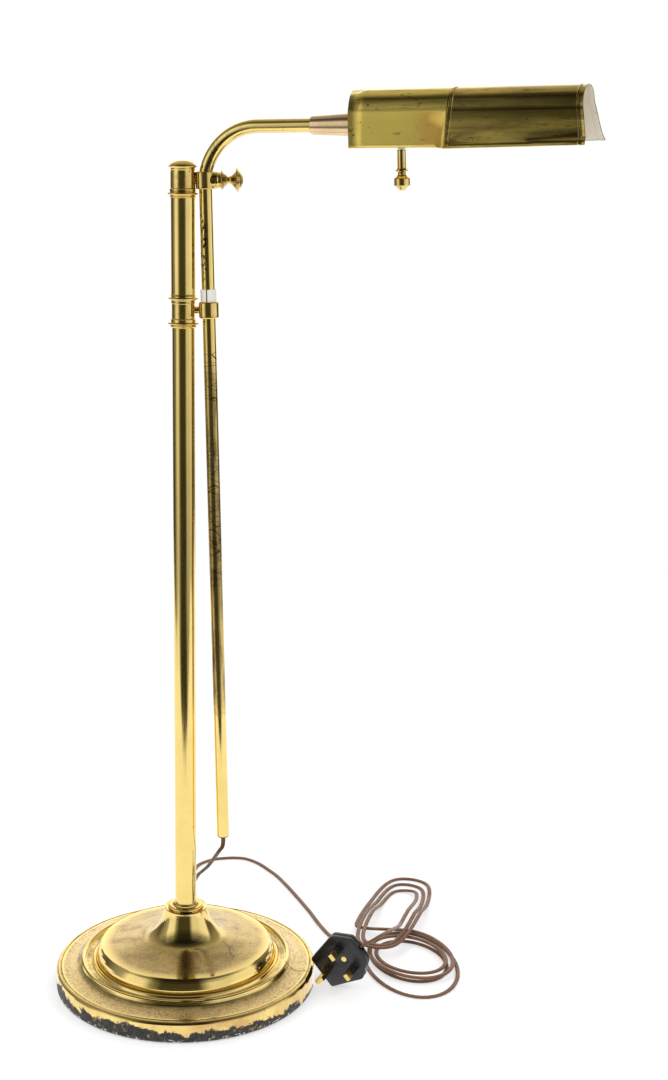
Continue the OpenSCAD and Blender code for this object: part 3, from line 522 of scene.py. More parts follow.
def along_shade(f):
    """Object coordinates brought into the shade's own frame: along it, across it and up."""
    inverse = shade_frame().inverted()
    made = f.node("ShaderNodeMapping")
    f.put(f.place, made.inputs["Vector"])
    made.inputs["Rotation"].default_value = inverse.to_euler()
    made.inputs["Location"].default_value = inverse.translation * MM
    return made.outputs["Vector"]


def sheet_grain(f, at):
    """The patterns of the sheet: fine brushing, long streaks and clouds."""
    brushed = f.noise(1, 3, 0.6, at=f.moved((2300, 2300, 60), at=at))
    streak = f.noise(1, 6, 0.62, at=f.moved((9, 150, 150), at=at), warp=0.25)
    cloud = f.noise(1, 5, 0.6, at=f.moved((30, 45, 45), at=at), warp=0.4)
    return brushed, streak, cloud


def worn_sheet(f, at, tone, waved, rough, relief):
    """Adds wavy marks, scratches and pits to the sheet's tone, and sets the shader."""
    wavy = f.noise(1, 4, 0.5, at=f.moved((14, 70, 420), at=at), warp=1.2)
    wavy = f.ramp(wavy, (0.47, 0), (0.5, 1), (0.53, 0))
    tone = f.mix(f.times(wavy, waved, 0.5), tone, WAVY_MARK)
    scratch = f.noise(1, 2, 0.5, at=f.moved((14, 260, 260), (8, 24, 0)))
    scratch = f.ramp(scratch, (0.66, 0), (0.68, 1))
    tone = f.mix(f.times(scratch, 0.4), tone, brass_look().tarnish)
    tone = f.mix(f.ramp(f.noise(300, 2, 0.5), (0.73, 0), (0.77, 1)), tone, SHEET_PIT)
    f.set(Base_Color=tone, Metallic=1.0, Roughness=rough)
    f.bump(relief, 0.00003, 0.25)


def housing_brass(f):
    """The shade's housing: brushed sides, a warm patch by the seam, and a roof darkened by long streaks
    and by a painted dark reflection.
    """
    at = along_shade(f)
    s, _, u = f.parts(at)
    brushed, streak, cloud = sheet_grain(f, at)
    roof = f.band(u, *ROOF_BAND)
    tone = f.mix(f.ramp(cloud, (0.3, 0), (0.75, 0.5)), HOUSING_BRASS, HOUSING_CLOUD)
    warm = f.times(f.band(s, *WARM_RUN), f.band(u, *WARM_BAND))
    tone = f.mix(f.times(warm, 0.7), tone, HOUSING_WARM)
    # Streaks and painted dark reflection: the roof is darkened a little all over and more along long
    # streaks
    tone = f.mix(f.times(roof, f.ramp(streak, (0.4, 0.1), (0.66, 0.7))), tone, ROOF_STREAK_AND_REFLECTION)
    satin = f.ramp(brushed, (0.3, 0.36), (0.7, 0.5))
    rough = f.blend(roof, satin, f.ramp(streak, (0.3, 0.10), (0.8, 0.2)))
    worn_sheet(f, at, tone, roof, rough, f.plus(f.times(brushed, 0.7), f.times(streak, 0.5)))


def hood_brass(f):
    """The shade's hood: darker, streaked along, with brown blotches low on its side and a painted dark
    reflection along its middle.
    """
    at = along_shade(f)
    s, _, u = f.parts(at)
    brushed, streak, cloud = sheet_grain(f, at)
    aged = [c * HOOD_AGED_SHARE for c in brass_look().aged]
    tone = f.mix(f.ramp(cloud, (0.3, 0), (0.7, 1)), HOOD_BRASS, aged)
    blotch = f.noise(1, 6, 0.7, at=f.moved((26, 60, 85), at=at), warp=0.8)
    blotch = f.ramp(blotch, (0.5, 0), (0.63, 1))
    blotch = f.times(blotch, f.band(s, *BLOTCH_RUN), f.band(u, *BLOTCH_BAND))
    tone = f.mix(f.times(blotch, 0.6), tone, HOOD_BLOTCH)
    tone = f.mix(f.ramp(streak, (0.44, 0), (0.62, 0.7)), tone, HOOD_STREAK)
    # Painted dark reflection: a band along the hood's middle is darkened
    tone = f.mix(f.times(f.band(u, *PAINTED_REFLECTION_BAND), 0.72), tone, HOOD_PAINTED_REFLECTION)
    rough = f.ramp(streak, (0.3, 0.09), (0.8, 0.2))
    worn_sheet(f, at, tone, 0.6, rough, f.plus(f.times(brushed, 0.15), f.times(streak, 0.5)))


ENAMEL_CLOUD, ENAMEL_SPECK = (0.72, 0.63, 0.50), (0.45, 0.36, 0.24)


def enamel(f):
    """The shade's enamel inside: cream, cloudy and a little specked."""
    look = bpy.context.scene.lamp_shade
    speck = f.ramp(f.noise(260, 3), (0.66, 0), (0.74, 1))
    tone = f.mix(f.ramp(f.noise(20, 4), (0.3, 0), (0.7, 1)), look.enamel, ENAMEL_CLOUD)
    f.set(
        Base_Color=f.mix(f.times(speck, 0.4), tone, ENAMEL_SPECK),
        Roughness=f.ramp(f.noise(60), (0.3, 0.32), (0.7, 0.45)),
    )
    f.bump(f.noise(300, 3), 0.00004, 0.3)


def moulded(f, colour, rough=0.3, scuff=0.3):
    """Moulded plastic with faint grain, scuffs and handling wear."""
    worn = f.ramp(f.noise(90, 6, 0.7), (0.5, 0), (0.72, 1))
    dust = f.ramp(f.noise(500, 3, 0.7), (0.64, 0), (0.74, 1))
    pale = [min(1, c * 1.8 + 0.05) for c in colour]
    tone = f.mix(f.times(f.either(worn, dust), scuff), colour, pale)
    f.set(Base_Color=tone, Roughness=f.plus(f.times(worn, 0.22), rough))
    f.bump(f.noise(1400, 2), 0.00003, 0.25)


FLEX_DUST = (0.32, 0.22, 0.16)


def flex_sheath(f):
    """The flex's sheath: cloudy, with a little pale dust."""
    colour = bpy.context.scene.lamp_flex.colour
    pale = [c * 1.7 for c in colour]
    dust = f.ramp(f.noise(700, 3, 0.7), (0.58, 0), (0.72, 1))
    tone = f.mix(f.ramp(f.noise(60, 4), (0.3, 0), (0.7, 0.8)), colour, pale)
    f.set(
        Base_Color=f.mix(f.times(dust, 0.3), tone, FLEX_DUST),
        Roughness=f.ramp(f.noise(220, 3), (0.3, 0.36), (0.7, 0.52)),
    )
    f.bump(f.noise(900, 3), 0.00005, 0.3)


STEEL, CAP_METAL, RUST = (0.56, 0.56, 0.54), (0.74, 0.74, 0.72), (0.24, 0.16, 0.10)


def plated(f, colour=STEEL, rough=0.3):
    """Plated steel with a little rust."""
    cloud = f.noise(160, 5)
    rust = f.ramp(f.noise(240, 5, 0.7), (0.6, 0), (0.75, 0.8))
    f.set(
        Base_Color=f.mix(rust, colour, RUST),
        Metallic=1.0,
        Roughness=f.ramp(cloud, (0.3, rough), (0.7, rough + 0.2)),
    )
    f.bump(f.noise(900, 3), 0.00003, 0.3)


IRON, IRON_RUST = (0.05, 0.045, 0.042), (0.13, 0.10, 0.08)


def cast_iron(f):
    """Rough cast iron for the weight in the base."""
    f.set(
        Base_Color=f.mix(f.noise(90, 5), IRON, IRON_RUST),
        Metallic=0.6,
        Roughness=f.ramp(f.noise(200), (0.3, 0.55), (0.7, 0.8)),
    )
    f.bump(f.noise(500, 6), 0.0003, 0.6)


FELT, FELT_FIBRE = (0.012, 0.03, 0.018), (0.05, 0.085, 0.055)


def wool_felt(f):
    """Green felt under the base."""
    fibre = f.noise(2200, 5, 0.8)
    f.set(Base_Color=f.mix(fibre, FELT, FELT_FIBRE), Roughness=0.95)
    f.shader.inputs["Sheen Weight"].default_value = 0.4
    f.bump(fibre, 0.0003, 0.7)


FROST, FROST_CLOUD = (0.93, 0.92, 0.88), (0.86, 0.85, 0.80)


def frosted(f):
    """The bulb's frosted glass."""
    f.set(
        Base_Color=f.mix(f.noise(120, 3), FROST, FROST_CLOUD),
        Roughness=f.ramp(f.noise(500), (0.3, 0.42), (0.7, 0.55)),
    )
    f.shader.inputs["Transmission Weight"].default_value = 0.35
    f.bump(f.noise(1500), 0.00002, 0.2)


# Colours of the moulded parts
BLACK = (0.012, 0.012, 0.013)
NYLON = (0.86, 0.85, 0.80)
CERAMIC = (0.80, 0.78, 0.72)
FIBRE = (0.62, 0.52, 0.38)


def black_moulding():
    return finish("black_moulding", moulded, BLACK)


# ---- pieces ----

# Vertices nearer than this are one, in metres
SAME_PLACE, SAME_CAD_PLACE = 1e-6, 2e-6
# In degrees: sharper edges than these stay sharp on a plain piece, on sheet and on flex; past the
# hard angle they get a bevel; facets within the flat angle are joined
SMOOTH_ANGLE, SHEET_ANGLE, FLEX_ANGLE, HARD_ANGLE, FLAT_ANGLE = 35.0, 26.0, 70.0, 25.0, 0.5


def dress(material, *nodes):
    """Gives CAD nodes their material."""
    for name in nodes:
        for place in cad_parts[name].material_slots:
            place.material = material


def placed(name, bm):
    """Puts a bmesh in the scene as an object of that name."""
    mesh = bpy.data.meshes.new(name)
    bm.to_mesh(mesh)
    bm.free()
    piece = bpy.data.objects.new(name, mesh)
    bpy.context.scene.collection.objects.link(piece)
    return piece


def new_piece(name, bm, materials, body, replaces=(), angle=SMOOTH_ANGLE):
    """Makes an object of a bmesh in the lamp's frame and hangs it on its body."""
    bmesh.ops.remove_doubles(bm, verts=bm.verts, dist=SAME_PLACE)
    bmesh.ops.recalc_face_normals(bm, faces=bm.faces)
    for face in bm.faces:
        face.smooth = True
    for edge in bm.edges:
        edge.smooth = len(edge.link_faces) != 2 or edge.calc_face_angle(0) < math.radians(angle)
    piece = placed(name, bm)
    for material in materials:
        piece.data.materials.append(material)
    if body:
        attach(piece, body)
    if replaces:
        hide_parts(*replaces)
    return piece


def smoothed(node, material, body, bevel):
    """A smooth copy of a faceted CAD node, with its hard edges softened."""
    bm = bmesh.new()
    bm.from_mesh(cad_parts[node].data)
    bmesh.ops.remove_doubles(bm, verts=bm.verts, dist=SAME_CAD_PLACE)
    bmesh.ops.dissolve_limit(bm, angle_limit=math.radians(FLAT_ANGLE), verts=bm.verts, edges=bm.edges)
    hard = []
    for edge in bm.edges:
        if len(edge.link_faces) == 2 and edge.calc_face_angle(0) > math.radians(HARD_ANGLE):
            hard.append(edge)
    bmesh.ops.bevel(bm, geom=hard, offset=bevel, segments=2, profile=0.5, affect="EDGES", material=-1)
    return new_piece("dressed_" + node, bm, [material], body, [node])


def extruded(bm, row, edges, places):
    """Extrudes a row of edges to new places. Returns the new row and its edges."""
    grown = bmesh.ops.extrude_edge_only(bm, edges=edges)["geom"]
    fresh = {g for g in grown if isinstance(g, bmesh.types.BMVert)}
    edges = [g for g in grown if isinstance(g, bmesh.types.BMEdge) and all(v in fresh for v in g.verts)]
    row = [next(e.other_vert(v) for e in v.link_edges if e.other_vert(v) in fresh) for v in row]
    for vertex, place in zip(row, places):
        vertex.co = place
    return row, edges


def catmull(points, steps):
    """A smooth run through the points, with so many steps between two of them."""
    out = []
    for i in range(len(points) - 1):
        a, b = points[max(i - 1, 0)], points[i]
        c, d = points[i + 1], points[min(i + 2, len(points) - 1)]
        for k in range(steps):
            t = k / steps
            out.append(0.5 * (2 * b + (c - a) * t + (2 * a - 5 * b + 4 * c - d) * t * t
                              + (3 * b - a - 3 * c + d) * t * t * t))
    return out + [points[-1]]


# ---- shade ----

# The shade in its own frame, in millimetres. Half outlines go from the ridge down to the edge.
ROOF = [(0, 26.9), (4.6, 26.5), (9, 25.2), (12.8, 22.9), (15.4, 19.9), (17.2, 16.4), (18.6, 12.9)]
EAVE = 9.5
SIDE_STEP = 6.5
LOWER, MOUTH_LOWER = -17.2, -15.4
HOUSING_HALF, HOUSING_END_HALF, SEAM_HALF, HOOD_HALF = 20.0, 29.5, 30.0, 33.0
SHADE_START, SEAM, MOUTH = 86.0, 168.0, 272.2

# How much further along the lower edge is than the ridge, and where the housing starts to flare
SEAM_SLANT, MOUTH_SLANT = -1.1, 5.3
SLANT_TOP = EAVE + 4
FLARE_TOP, FLARE_LOW = SEAM - 3, SEAM - 11.5
HOUSING_ROWS, FLARE_ROWS, HOOD_ROWS = 6, 2, 12

# Beads: where each starts past the seam or the mouth, its width and its rows
SEAM_BEADS, SEAM_BEAD_WIDTH, SEAM_BEAD_ROWS = (0.3, 1.6), 1.2, 6
MOUTH_BEAD, MOUTH_BEAD_WIDTH, MOUTH_BEAD_ROWS = -5.9, 2.0, 7
HOOD_START, HOOD_PLAIN, HOOD_PLAIN_END = 0.1, 3.0, -6.0
# The lip past the last bead: place along and how far it stands out
LIP = ((-3.0, 0), (-1.2, 0), (-0.5, 0.25), (0, 0.1))


def roof_line():
    return [tuple(p) for p in catmull([Vector(p) for p in ROOF], 3)]


def straight_half(w, low):
    fold = [(w - 0.75, EAVE + 1.5), (w - 0.25, EAVE + 0.5), (w, EAVE - 0.6)]
    side = [(w, EAVE - SIDE_STEP * k) for k in (1, 2, 3)]
    return roof_line() + fold + side + [(w, low + 3), (w, low)]


def flared_half(w, low):
    fold = [(19.25, EAVE + 1.5), (19.85, EAVE + 0.5), (20.35, EAVE - 0.6)]
    side = [(out, EAVE - SIDE_STEP * k) for k, out in ((1, 22), (2, 24), (3, 26.4))]
    return roof_line() + fold + side + [(w - 4.2, low + 3.2), (w, low)]


def section(half, top, low, proud=0.0):
    """The whole section in the shade's frame: s leans from top at the ridge to low at the edge."""
    ways = []
    for i in range(len(half)):
        a, b = Vector(half[max(i - 1, 0)]), Vector(half[min(i + 1, len(half) - 1)])
        way = (b - a).normalized() if i else Vector((1, 0))
        ways.append(Vector((-way.y, way.x)))
    side = [Vector(p) + proud * w for p, w in zip(half, ways)]
    line = [Vector((-p.x, p.y)) for p in reversed(side[1:])] + side
    out = []
    for p in line:
        share = max(0.0, min(1.0, (SLANT_TOP - p.y) / (SLANT_TOP - LOWER)))
        out.append(Vector((top + (low - top) * share, p.x, p.y)))
    return out


def seam_ring(at, proud=0.0):
    """The hood's section a little past the seam."""
    return section(flared_half(SEAM_HALF, LOWER + 0.1), SEAM + at, SEAM + SEAM_SLANT + at, proud)


def mouth_ring(at, proud=0.0):
    """The hood's section at the mouth, or before it where at is negative."""
    return section(flared_half(HOOD_HALF, MOUTH_LOWER), MOUTH + at, MOUTH + MOUTH_SLANT + at, proud)


def beaded(ring, start, width, height, rows):
    """Rings over one pressed bead, which stands out most in its middle."""
    return [ring(start + width * k / rows, height * math.sin(math.pi * k / rows)) for k in range(rows + 1)]


def between(a, b, steps):
    return [[p.lerp(q, k / steps) for p, q in zip(a, b)] for k in range(1, steps + 1)]


def pressed(name, sections, materials, node, thickness):
    """A piece of pressed sheet through sections that share one count of points."""
    place = Matrix.Scale(MM, 4) @ shade_frame()
    bm = bmesh.new()
    row = [bm.verts.new(place @ p) for p in sections[0]]
    edges = [bm.edges.new(pair) for pair in zip(row, row[1:])]
    for points in sections[1:]:
        row, edges = extruded(bm, row, edges, [place @ p for p in points])
    piece = new_piece(name, bm, materials, "shade", [node], SHEET_ANGLE)
    wall = piece.modifiers.new("sheet", "SOLIDIFY")
    wall.thickness = thickness
    wall.offset = -1
    wall.use_even_offset = True
    wall.material_offset = 1
    wall.material_offset_rim = 0


class LAMP_OT_shade(Operator):
    """Makes the shade's housing and its flared hood of pressed sheet"""

    bl_idname = "lamp.shade"
    bl_label = "Shade"

    def execute(self, context):
        sizes = context.scene.lamp_shade
        inside = finish("cream_enamel", enamel)
        housing = finish("housing_brass", housing_brass)
        start = section(straight_half(HOUSING_HALF, LOWER), SHADE_START, SHADE_START)
        flare = section(straight_half(HOUSING_HALF, LOWER), FLARE_TOP, FLARE_LOW)
        end = section(flared_half(HOUSING_END_HALF, LOWER), SEAM, SEAM + SEAM_SLANT)
        rows = [start] + between(start, flare, HOUSING_ROWS) + between(flare, end, FLARE_ROWS)
        pressed("shade_housing_sheet", rows, [housing, inside], "shade_housing", sizes.sheet)

        bead = sizes.bead / MM
        rows = [seam_ring(HOOD_START, 0.2)]
        for first in SEAM_BEADS:
            rows += beaded(seam_ring, first, SEAM_BEAD_WIDTH, bead, SEAM_BEAD_ROWS)
        plain = seam_ring(HOOD_PLAIN)
        rows += [plain] + between(plain, mouth_ring(HOOD_PLAIN_END), HOOD_ROWS)
        rows += beaded(mouth_ring, MOUTH_BEAD, MOUTH_BEAD_WIDTH, bead, MOUTH_BEAD_ROWS)
        rows += [mouth_ring(at, proud) for at, proud in LIP]
        hood = finish("hood_brass", hood_brass)
        pressed("shade_hood_sheet", rows, [hood, inside], "shade_hood", sizes.sheet)
        dress(housing, "end_plate")
        return {"FINISHED"}


# ---- groups of CAD pieces that only need their finish ----


class LAMP_OT_base(Operator):
    """Finishes the base: spun brass shell, iron weight, felt and fixings"""

    bl_idname = "lamp.base"
    bl_label = "Base"

    def execute(self, context):
        dress(finish("spun_brass", spun_brass), "base_shell")
        dress(finish("cast_iron", cast_iron), "base_weight")
        dress(finish("wool_felt", wool_felt), "base_pad")
        dress(finish("plated_steel", plated), "base_washer", "base_nut", "tie_rod")
        return {"FINISHED"}


class LAMP_OT_upright(Operator):
    """Finishes the upright: tubes, turned collars, neck ring and cap"""

    bl_idname = "lamp.upright"
    bl_label = "Upright"

    def execute(self, context):
        dress(finish("tube_brass", tube_brass), "post_tube", "upper_tube")
        dress(finish("turned_brass", turned_brass), "neck_ring", "lower_collar", "upper_collar", "top_cap")
        return {"FINISHED"}


class LAMP_OT_slide(Operator):
    """Finishes the eyes, the bushes and the clamp that holds the rod"""

    bl_idname = "lamp.slide"
    bl_label = "Eyes and clamp"

    def execute(self, context):
        dress(finish("turned_brass", turned_brass), "lower_eye", "upper_eye", "screw_shank", "thumb_screw")
        dress(finish("dull_turned_brass", turned_brass, brass_look().aged, 0.2, 0.9), "clamp_collar")
        dress(finish("white_nylon", moulded, NYLON, 0.35, 0.15), "nylon_bush", "switch_bush")
        return {"FINISHED"}


class LAMP_OT_arm(Operator):
    """Finishes the rod, the bent arm, its ferrule and the swivel"""

    bl_idname = "lamp.arm"
    bl_label = "Rod and arm"

    def execute(self, context):
        dress(finish("rod_brass", rod_brass), "rod_tube")
        dress(finish("tube_brass", tube_brass), "arm_tube")
        dress(finish("copper_brass", turned_brass, brass_look().copper, 0.07, 0.3), "arm_ferrule")
        dress(finish("turned_brass", turned_brass), "swivel_ring")
        dress(finish("plated_steel", plated), "swivel_nipple", "swivel_nut")
        dress(black_moulding(), "rod_grommet")
        dress(finish("flex_sheath", flex_sheath), "inner_flex")
        return {"FINISHED"}


class LAMP_OT_holder(Operator):
    """Finishes the lampholder, the bulb and the turn switch"""

    bl_idname = "lamp.holder"
    bl_label = "Lampholder and switch"

    def execute(self, context):
        dress(finish("turned_brass", turned_brass), "socket_cup", "switch_knob")
        dress(black_moulding(), "lampholder", "switch_body")
        dress(finish("lamp_cap", plated, CAP_METAL, 0.25), "bulb_cap")
        dress(finish("frosted_glass", frosted), "bulb_glass")
        return {"FINISHED"}


class LAMP_OT_plug(Operator):
    """Finishes the plug: moulded halves with softened edges, pins and fittings"""

    bl_idname = "lamp.plug"
    bl_label = "Plug"

    def execute(self, context):
        smoothed("plug_base", black_moulding(), "stand", bevel=0.0006)
        smoothed("plug_cover", black_moulding(), "stand", bevel=0.0012)
        dress(black_moulding(), "pin_sleeves")
        pins = finish("pin_brass", turned_brass, brass_look().polished, 0.14, 0.3)
        dress(pins, "live_pins", "earth_pin", "plug_screw")
        dress(finish("ceramic", moulded, CERAMIC, 0.2, 0.1), "plug_fuse")
        dress(finish("fibre", moulded, FIBRE, 0.6, 0.2), "cord_clamp")
        return {"FINISHED"}


# ---- flex ----

# The flex's middle in millimetres, from the rod's foot to the coil. The rod covers its first part.
IN_ROD = (150, 146, 141)
FREE_POINTS = [
    (33.7, 1, 135.5), (32.7, 5, 128.5), (30, 11, 122.5), (26, 26, 111.5), (20.5, 49, 95.5),
    (15, 66, 82), (9, 80, 71), (4, 91.5, 62), (-1, 108, 48), (-5, 126, 34), (-8, 146, 20),
    (-10, 168, 9), (-11, 190, 3), (-12, 212, 2), (-12, 232, 2), (-9, 249, 2), (-2, 259, 2),
    (7, 266, 2), (17, 269, 2), (27, 270.5, 2), (38, 269.5, 2), (47, 264, 2), (56, 255, 2),
    (65, 242, 2), (75, 226, 2), (84, 207, 2), (93, 186, 2), (102, 164, 2), (111, 141, 2),
    (119, 118, 2), (128, 96, 2), (135, 84, 2), (143.5, 75, 2), (153, 68, 2),
]
INTO_COIL = (157, 65, 2)
# One oval a row: its middle, half its length, half its width and its direction
LOWER_OVALS = [(209, 39, 79, 45, 101), (206, 45, 50, 34.5, 110), (206, 43, 37, 27.5, 125),
               (205, 42, 43.5, 34, 122), (206, 45, 60, 41, 108)]
UPPER_OVALS = [(194, 136, 96, 31.5, 76), (193.3, 131.8, 87, 26, 76), (192.6, 127, 77, 20.5, 76),
               (190.6, 121, 66, 15.5, 76)]
LOWER_TURNS, UPPER_START, UPPER_TURNS = 3.68, 0.21, 2.78
TURN_STEPS, LAYER, CORD_R = 24, 4.75, 2.0
# Where a loop climbs one layer: from which turn, and over how much of a turn
LOWER_CLIMB, UPPER_CLIMB = (1.8, 0.5), (2.4, 0.35)
# The upper loops lie on the lower ones up to this y, and come down over the next so many millimetres
OVERLAP_END, OVERLAP_SLOPE = 118, 50
# The upper loops' ends are blunter than an oval's
BLUNT_SHARE, BLUNT_REACH = 0.92, 1.15
# How far the flex keeps its way where it passes from loop to loop and to the plug, and in how many steps
HOP_REACH, HOP_STEPS = 1.1, 5
RUN_START, RUN_END, RUN_STEPS = 0.5, 1.2, 13
PLUG_PLACE, PLUG_LEAN = (145.6, -17.4, 32.1), (-84.2, 50.4, -15.2)
PLUG_FLAT, CORD_HOLE_Z, CORD_HOLE_DEPTH, PLUG_STUB = 15.8, 7.0, 3.0, 4.5

# The section of one strand: an arc in degrees, in so many steps
STRAND_ARC, STRAND_STEPS = 240, 6
# How strongly the flex turns its flat side down, and over what height it settles on the floor, in metres
FLAT_PULL, SETTLING = 0.5, 0.02


def rod_x(z):
    return ROD_FOOT_X - math.tan(math.radians(ROD_LEAN)) * z


def at_plug(point):
    lean = turned_to("Z", PLUG_LEAN[2]) @ turned_to("Y", PLUG_LEAN[1]) @ turned_to("X", PLUG_LEAN[0])
    return Vector(PLUG_PLACE) + (lean @ Vector(point))


def eased(x):
    c = max(0.0, min(1.0, x))
    return c * c * (3 - 2 * c)


def climbed(t, climb):
    first, length = climb
    return eased((t - first) / length)


def oval_at(rows, t):
    i = min(math.floor(t), len(rows) - 2)
    return [a + (b - a) * (t - i) for a, b in zip(rows[i], rows[i + 1])]


def on_oval(o, along, across, z):
    a = math.radians(o[4])
    return Vector((o[0] + along * math.cos(a) - across * math.sin(a),
                   o[1] + along * math.sin(a) + across * math.cos(a), z))


def lower_loop(t):
    o = oval_at(LOWER_OVALS, t)
    a = math.radians(180 + 360 * t - o[4])
    return on_oval(o, o[2] * math.cos(a), o[3] * math.sin(a), CORD_R + LAYER * climbed(t, LOWER_CLIMB))


def upper_loop(t):
    o = oval_at(UPPER_OVALS, t)
    a = math.radians(180 - 360 * t)
    blunt = math.sin(math.pi / 2 * max(-1, min(1, BLUNT_REACH * math.cos(a))))
    blunt = BLUNT_SHARE * blunt + (1 - BLUNT_SHARE) * math.cos(a)
    place = on_oval(o, (o[2] - o[3]) * blunt + o[3] * math.cos(a), o[3] * math.sin(a), CORD_R)
    over = 1 - eased((place.y - OVERLAP_END) / OVERLAP_SLOPE)
    layers = 1 if t < 0.5 else 2
    place.z += LAYER * (over * layers + climbed(t, UPPER_CLIMB))
    return place


def passage(a, ahead, b, on, steps):
    """Points between a and b on a curve that leaves a along ahead and meets b along on."""
    out = []
    for i in range(1, steps):
        t = i / steps
        t2, t3 = t * t, t * t * t
        out.append((2 * t3 - 3 * t2 + 1) * a + (t3 - 2 * t2 + t) * ahead
                   + (3 * t2 - 2 * t3) * b + (t3 - t2) * on)
    return out


def flex_route():
    """The flex's centreline from the rod's foot to the plug, in metres."""
    free = [Vector((rod_x(z), 0, z)) for z in IN_ROD] + [Vector(p) for p in FREE_POINTS]
    lower = [lower_loop(i / TURN_STEPS) for i in range(1, round(LOWER_TURNS * TURN_STEPS) + 1)]
    first, last = round(UPPER_START * TURN_STEPS), round(UPPER_TURNS * TURN_STEPS)
    upper = [upper_loop(i / TURN_STEPS) for i in range(first, last + 1)]
    stub = at_plug((0, -PLUG_FLAT - PLUG_STUB, CORD_HOLE_Z))
    entry = at_plug((0, -PLUG_FLAT, CORD_HOLE_Z))
    hop = (upper[0] - lower[-1]).length * HOP_REACH
    run = (stub - upper[-1]).length
    coil = [Vector(FREE_POINTS[-1]), Vector(INTO_COIL)] + lower
    coil += passage(lower[-1], hop * (lower[-1] - lower[-2]).normalized(), upper[0],
                    hop * (upper[1] - upper[0]).normalized(), HOP_STEPS)
    coil += upper
    coil += passage(upper[-1], RUN_START * run * (upper[-1] - upper[-2]).normalized(), stub,
                    RUN_END * run * (entry - stub).normalized(), RUN_STEPS)
    coil += [stub, at_plug((0, -PLUG_FLAT + CORD_HOLE_DEPTH, CORD_HOLE_Z))]
    route = catmull(free, 3) + catmull(coil, 2)[1:]
    return [Vector((p.x, p.y, max(p.z, CORD_R))) * MM for p in route]


def twin_outline(width, strand):
    """The outline of two strands side by side, with a groove between them."""
    reach = width / 2 - strand
    outline = []
    for side in (1, -1):
        for k in range(STRAND_STEPS + 1):
            a = math.radians(STRAND_ARC * (k / STRAND_STEPS - 0.5))
            outline.append((side * (reach + strand * math.cos(a)), side * strand * math.sin(a)))
    return outline


def flat_sides(ways):
    """The way across the flex at each point: square to its run and as level as it turns freely."""
    across = Vector((1, 0, 0))
    sides = []
    for way in reversed(ways):
        across = across - across.dot(way) * way
        level = Vector((-way.y, way.x, 0))
        if level.dot(across) < 0:
            level = -level
        across = (across.normalized() + FLAT_PULL * level.length * level).normalized()
        sides.append(across)
    return sides[::-1]


class LAMP_OT_flex(Operator):
    """Lays the twin flex from the rod's foot over the floor, through its coil and into the plug"""

    bl_idname = "lamp.flex"
    bl_label = "Flex"

    def execute(self, context):
        sizes = context.scene.lamp_flex
        route = flex_route()
        last = len(route) - 1
        strand = sizes.thickness / 2
        outline = twin_outline(sizes.width, strand)
        drop = CORD_R * MM - strand
        ways = [(route[min(i + 1, last)] - route[max(i - 1, 0)]).normalized() for i in range(last + 1)]
        bm = bmesh.new()
        row = edges = None
        for p, way, side in zip(route, ways, flat_sides(ways)):
            up = side.cross(way).normalized()
            if up.z < 0:
                up = -up
            low = drop * max(0.0, 1 - (p.z - CORD_R * MM) / SETTLING)
            ring = [p + side * a + up * b - Vector((0, 0, low)) for a, b in outline]
            if row:
                row, edges = extruded(bm, row, edges, ring)
                continue
            row = [bm.verts.new(q) for q in ring]
            edges = [bm.edges.new(pair) for pair in zip(row, row[1:] + row[:1])]
            bmesh.ops.contextual_create(bm, geom=edges)
        bmesh.ops.contextual_create(bm, geom=edges)
        sheath = finish("flex_sheath", flex_sheath)
        flex = new_piece("twin_flex", bm, [sheath], None, angle=FLEX_ANGLE)
        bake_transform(flex)
        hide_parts("cord_free", "cord_coil")
        return {"FINISHED"}


# ---- stage ----

# Places in metres and angles in degrees; the focus is in heights of the picture
CAMERA_PLACE = (0.1288, -1.4733, 0.7665)
CAMERA_PITCH, CAMERA_ROLL = 13.41, 0.919
CAMERA_FOCUS, SENSOR = 1760 / 1080, 36

# Each light's name, place, size and share of the key light's power
LIGHTS = (
    ("key_light", (-1.3, -1.0, 1.9), 1.3, 1.6),
    ("fill_light", (1.6, -0.9, 1.5), 1.2, 1.0),
    ("back_light", (0.3, 1.3, 1.8), 1.6, 0.9),
)
LIGHT_AIM = (0.12, 0.0, 0.35)

FLOOR_HALF, FLOOR_PLACE = (1.25, 1.05, 1), (0.1, 0.42, -0.0003)
# How much the floor glows for the camera, and how bright it is in polished metal
FLOOR_LIFT, FLOOR_MIRRORED = 0.52, 1.2

# What polished metal sees round it, from 0 straight behind the lamp by 0.25 to its left, 0.5
# towards the camera and 0.75 to its right: white soft boxes with the dark of the room between
AROUND = (
    (0.0, 1.1), (0.075, 1.0), (0.105, 0.06), (0.185, 0.04), (0.235, 0.30), (0.27, 0.42),
    (0.295, 1.1), (0.362, 1.0), (0.388, (0.30, 0.30, 0.22)), (0.425, (0.05, 0.046, 0.02)),
    (0.56, (0.055, 0.05, 0.024)), (0.60, 0.85), (0.67, 0.85), (0.70, 1.0), (0.775, 1.1),
    (0.80, 0.06), (0.885, 0.03), (0.915, 1.0),
)
# The soft boxes from straight down at 0 to straight up at 1
BOX_HEIGHTS = ((0.30, 0.12), (0.42, 0.5), (0.47, 1.0), (0.64, 1.0), (0.70, 0.3), (0.78, 0.0))
# The ceiling, which grows brighter towards the back
CEILING_UP, CEILING_BACK = 0.7, 0.7
CEILING = (
    (0.2, 0.012), (0.48, (0.10, 0.09, 0.07)), (0.68, (0.33, 0.31, 0.27)),
    (0.84, (0.50, 0.47, 0.41)), (1.0, (0.58, 0.55, 0.48)),
)
DARK, WHITE = (0.0, 0.0, 0.0), (1.0, 1.0, 1.0)


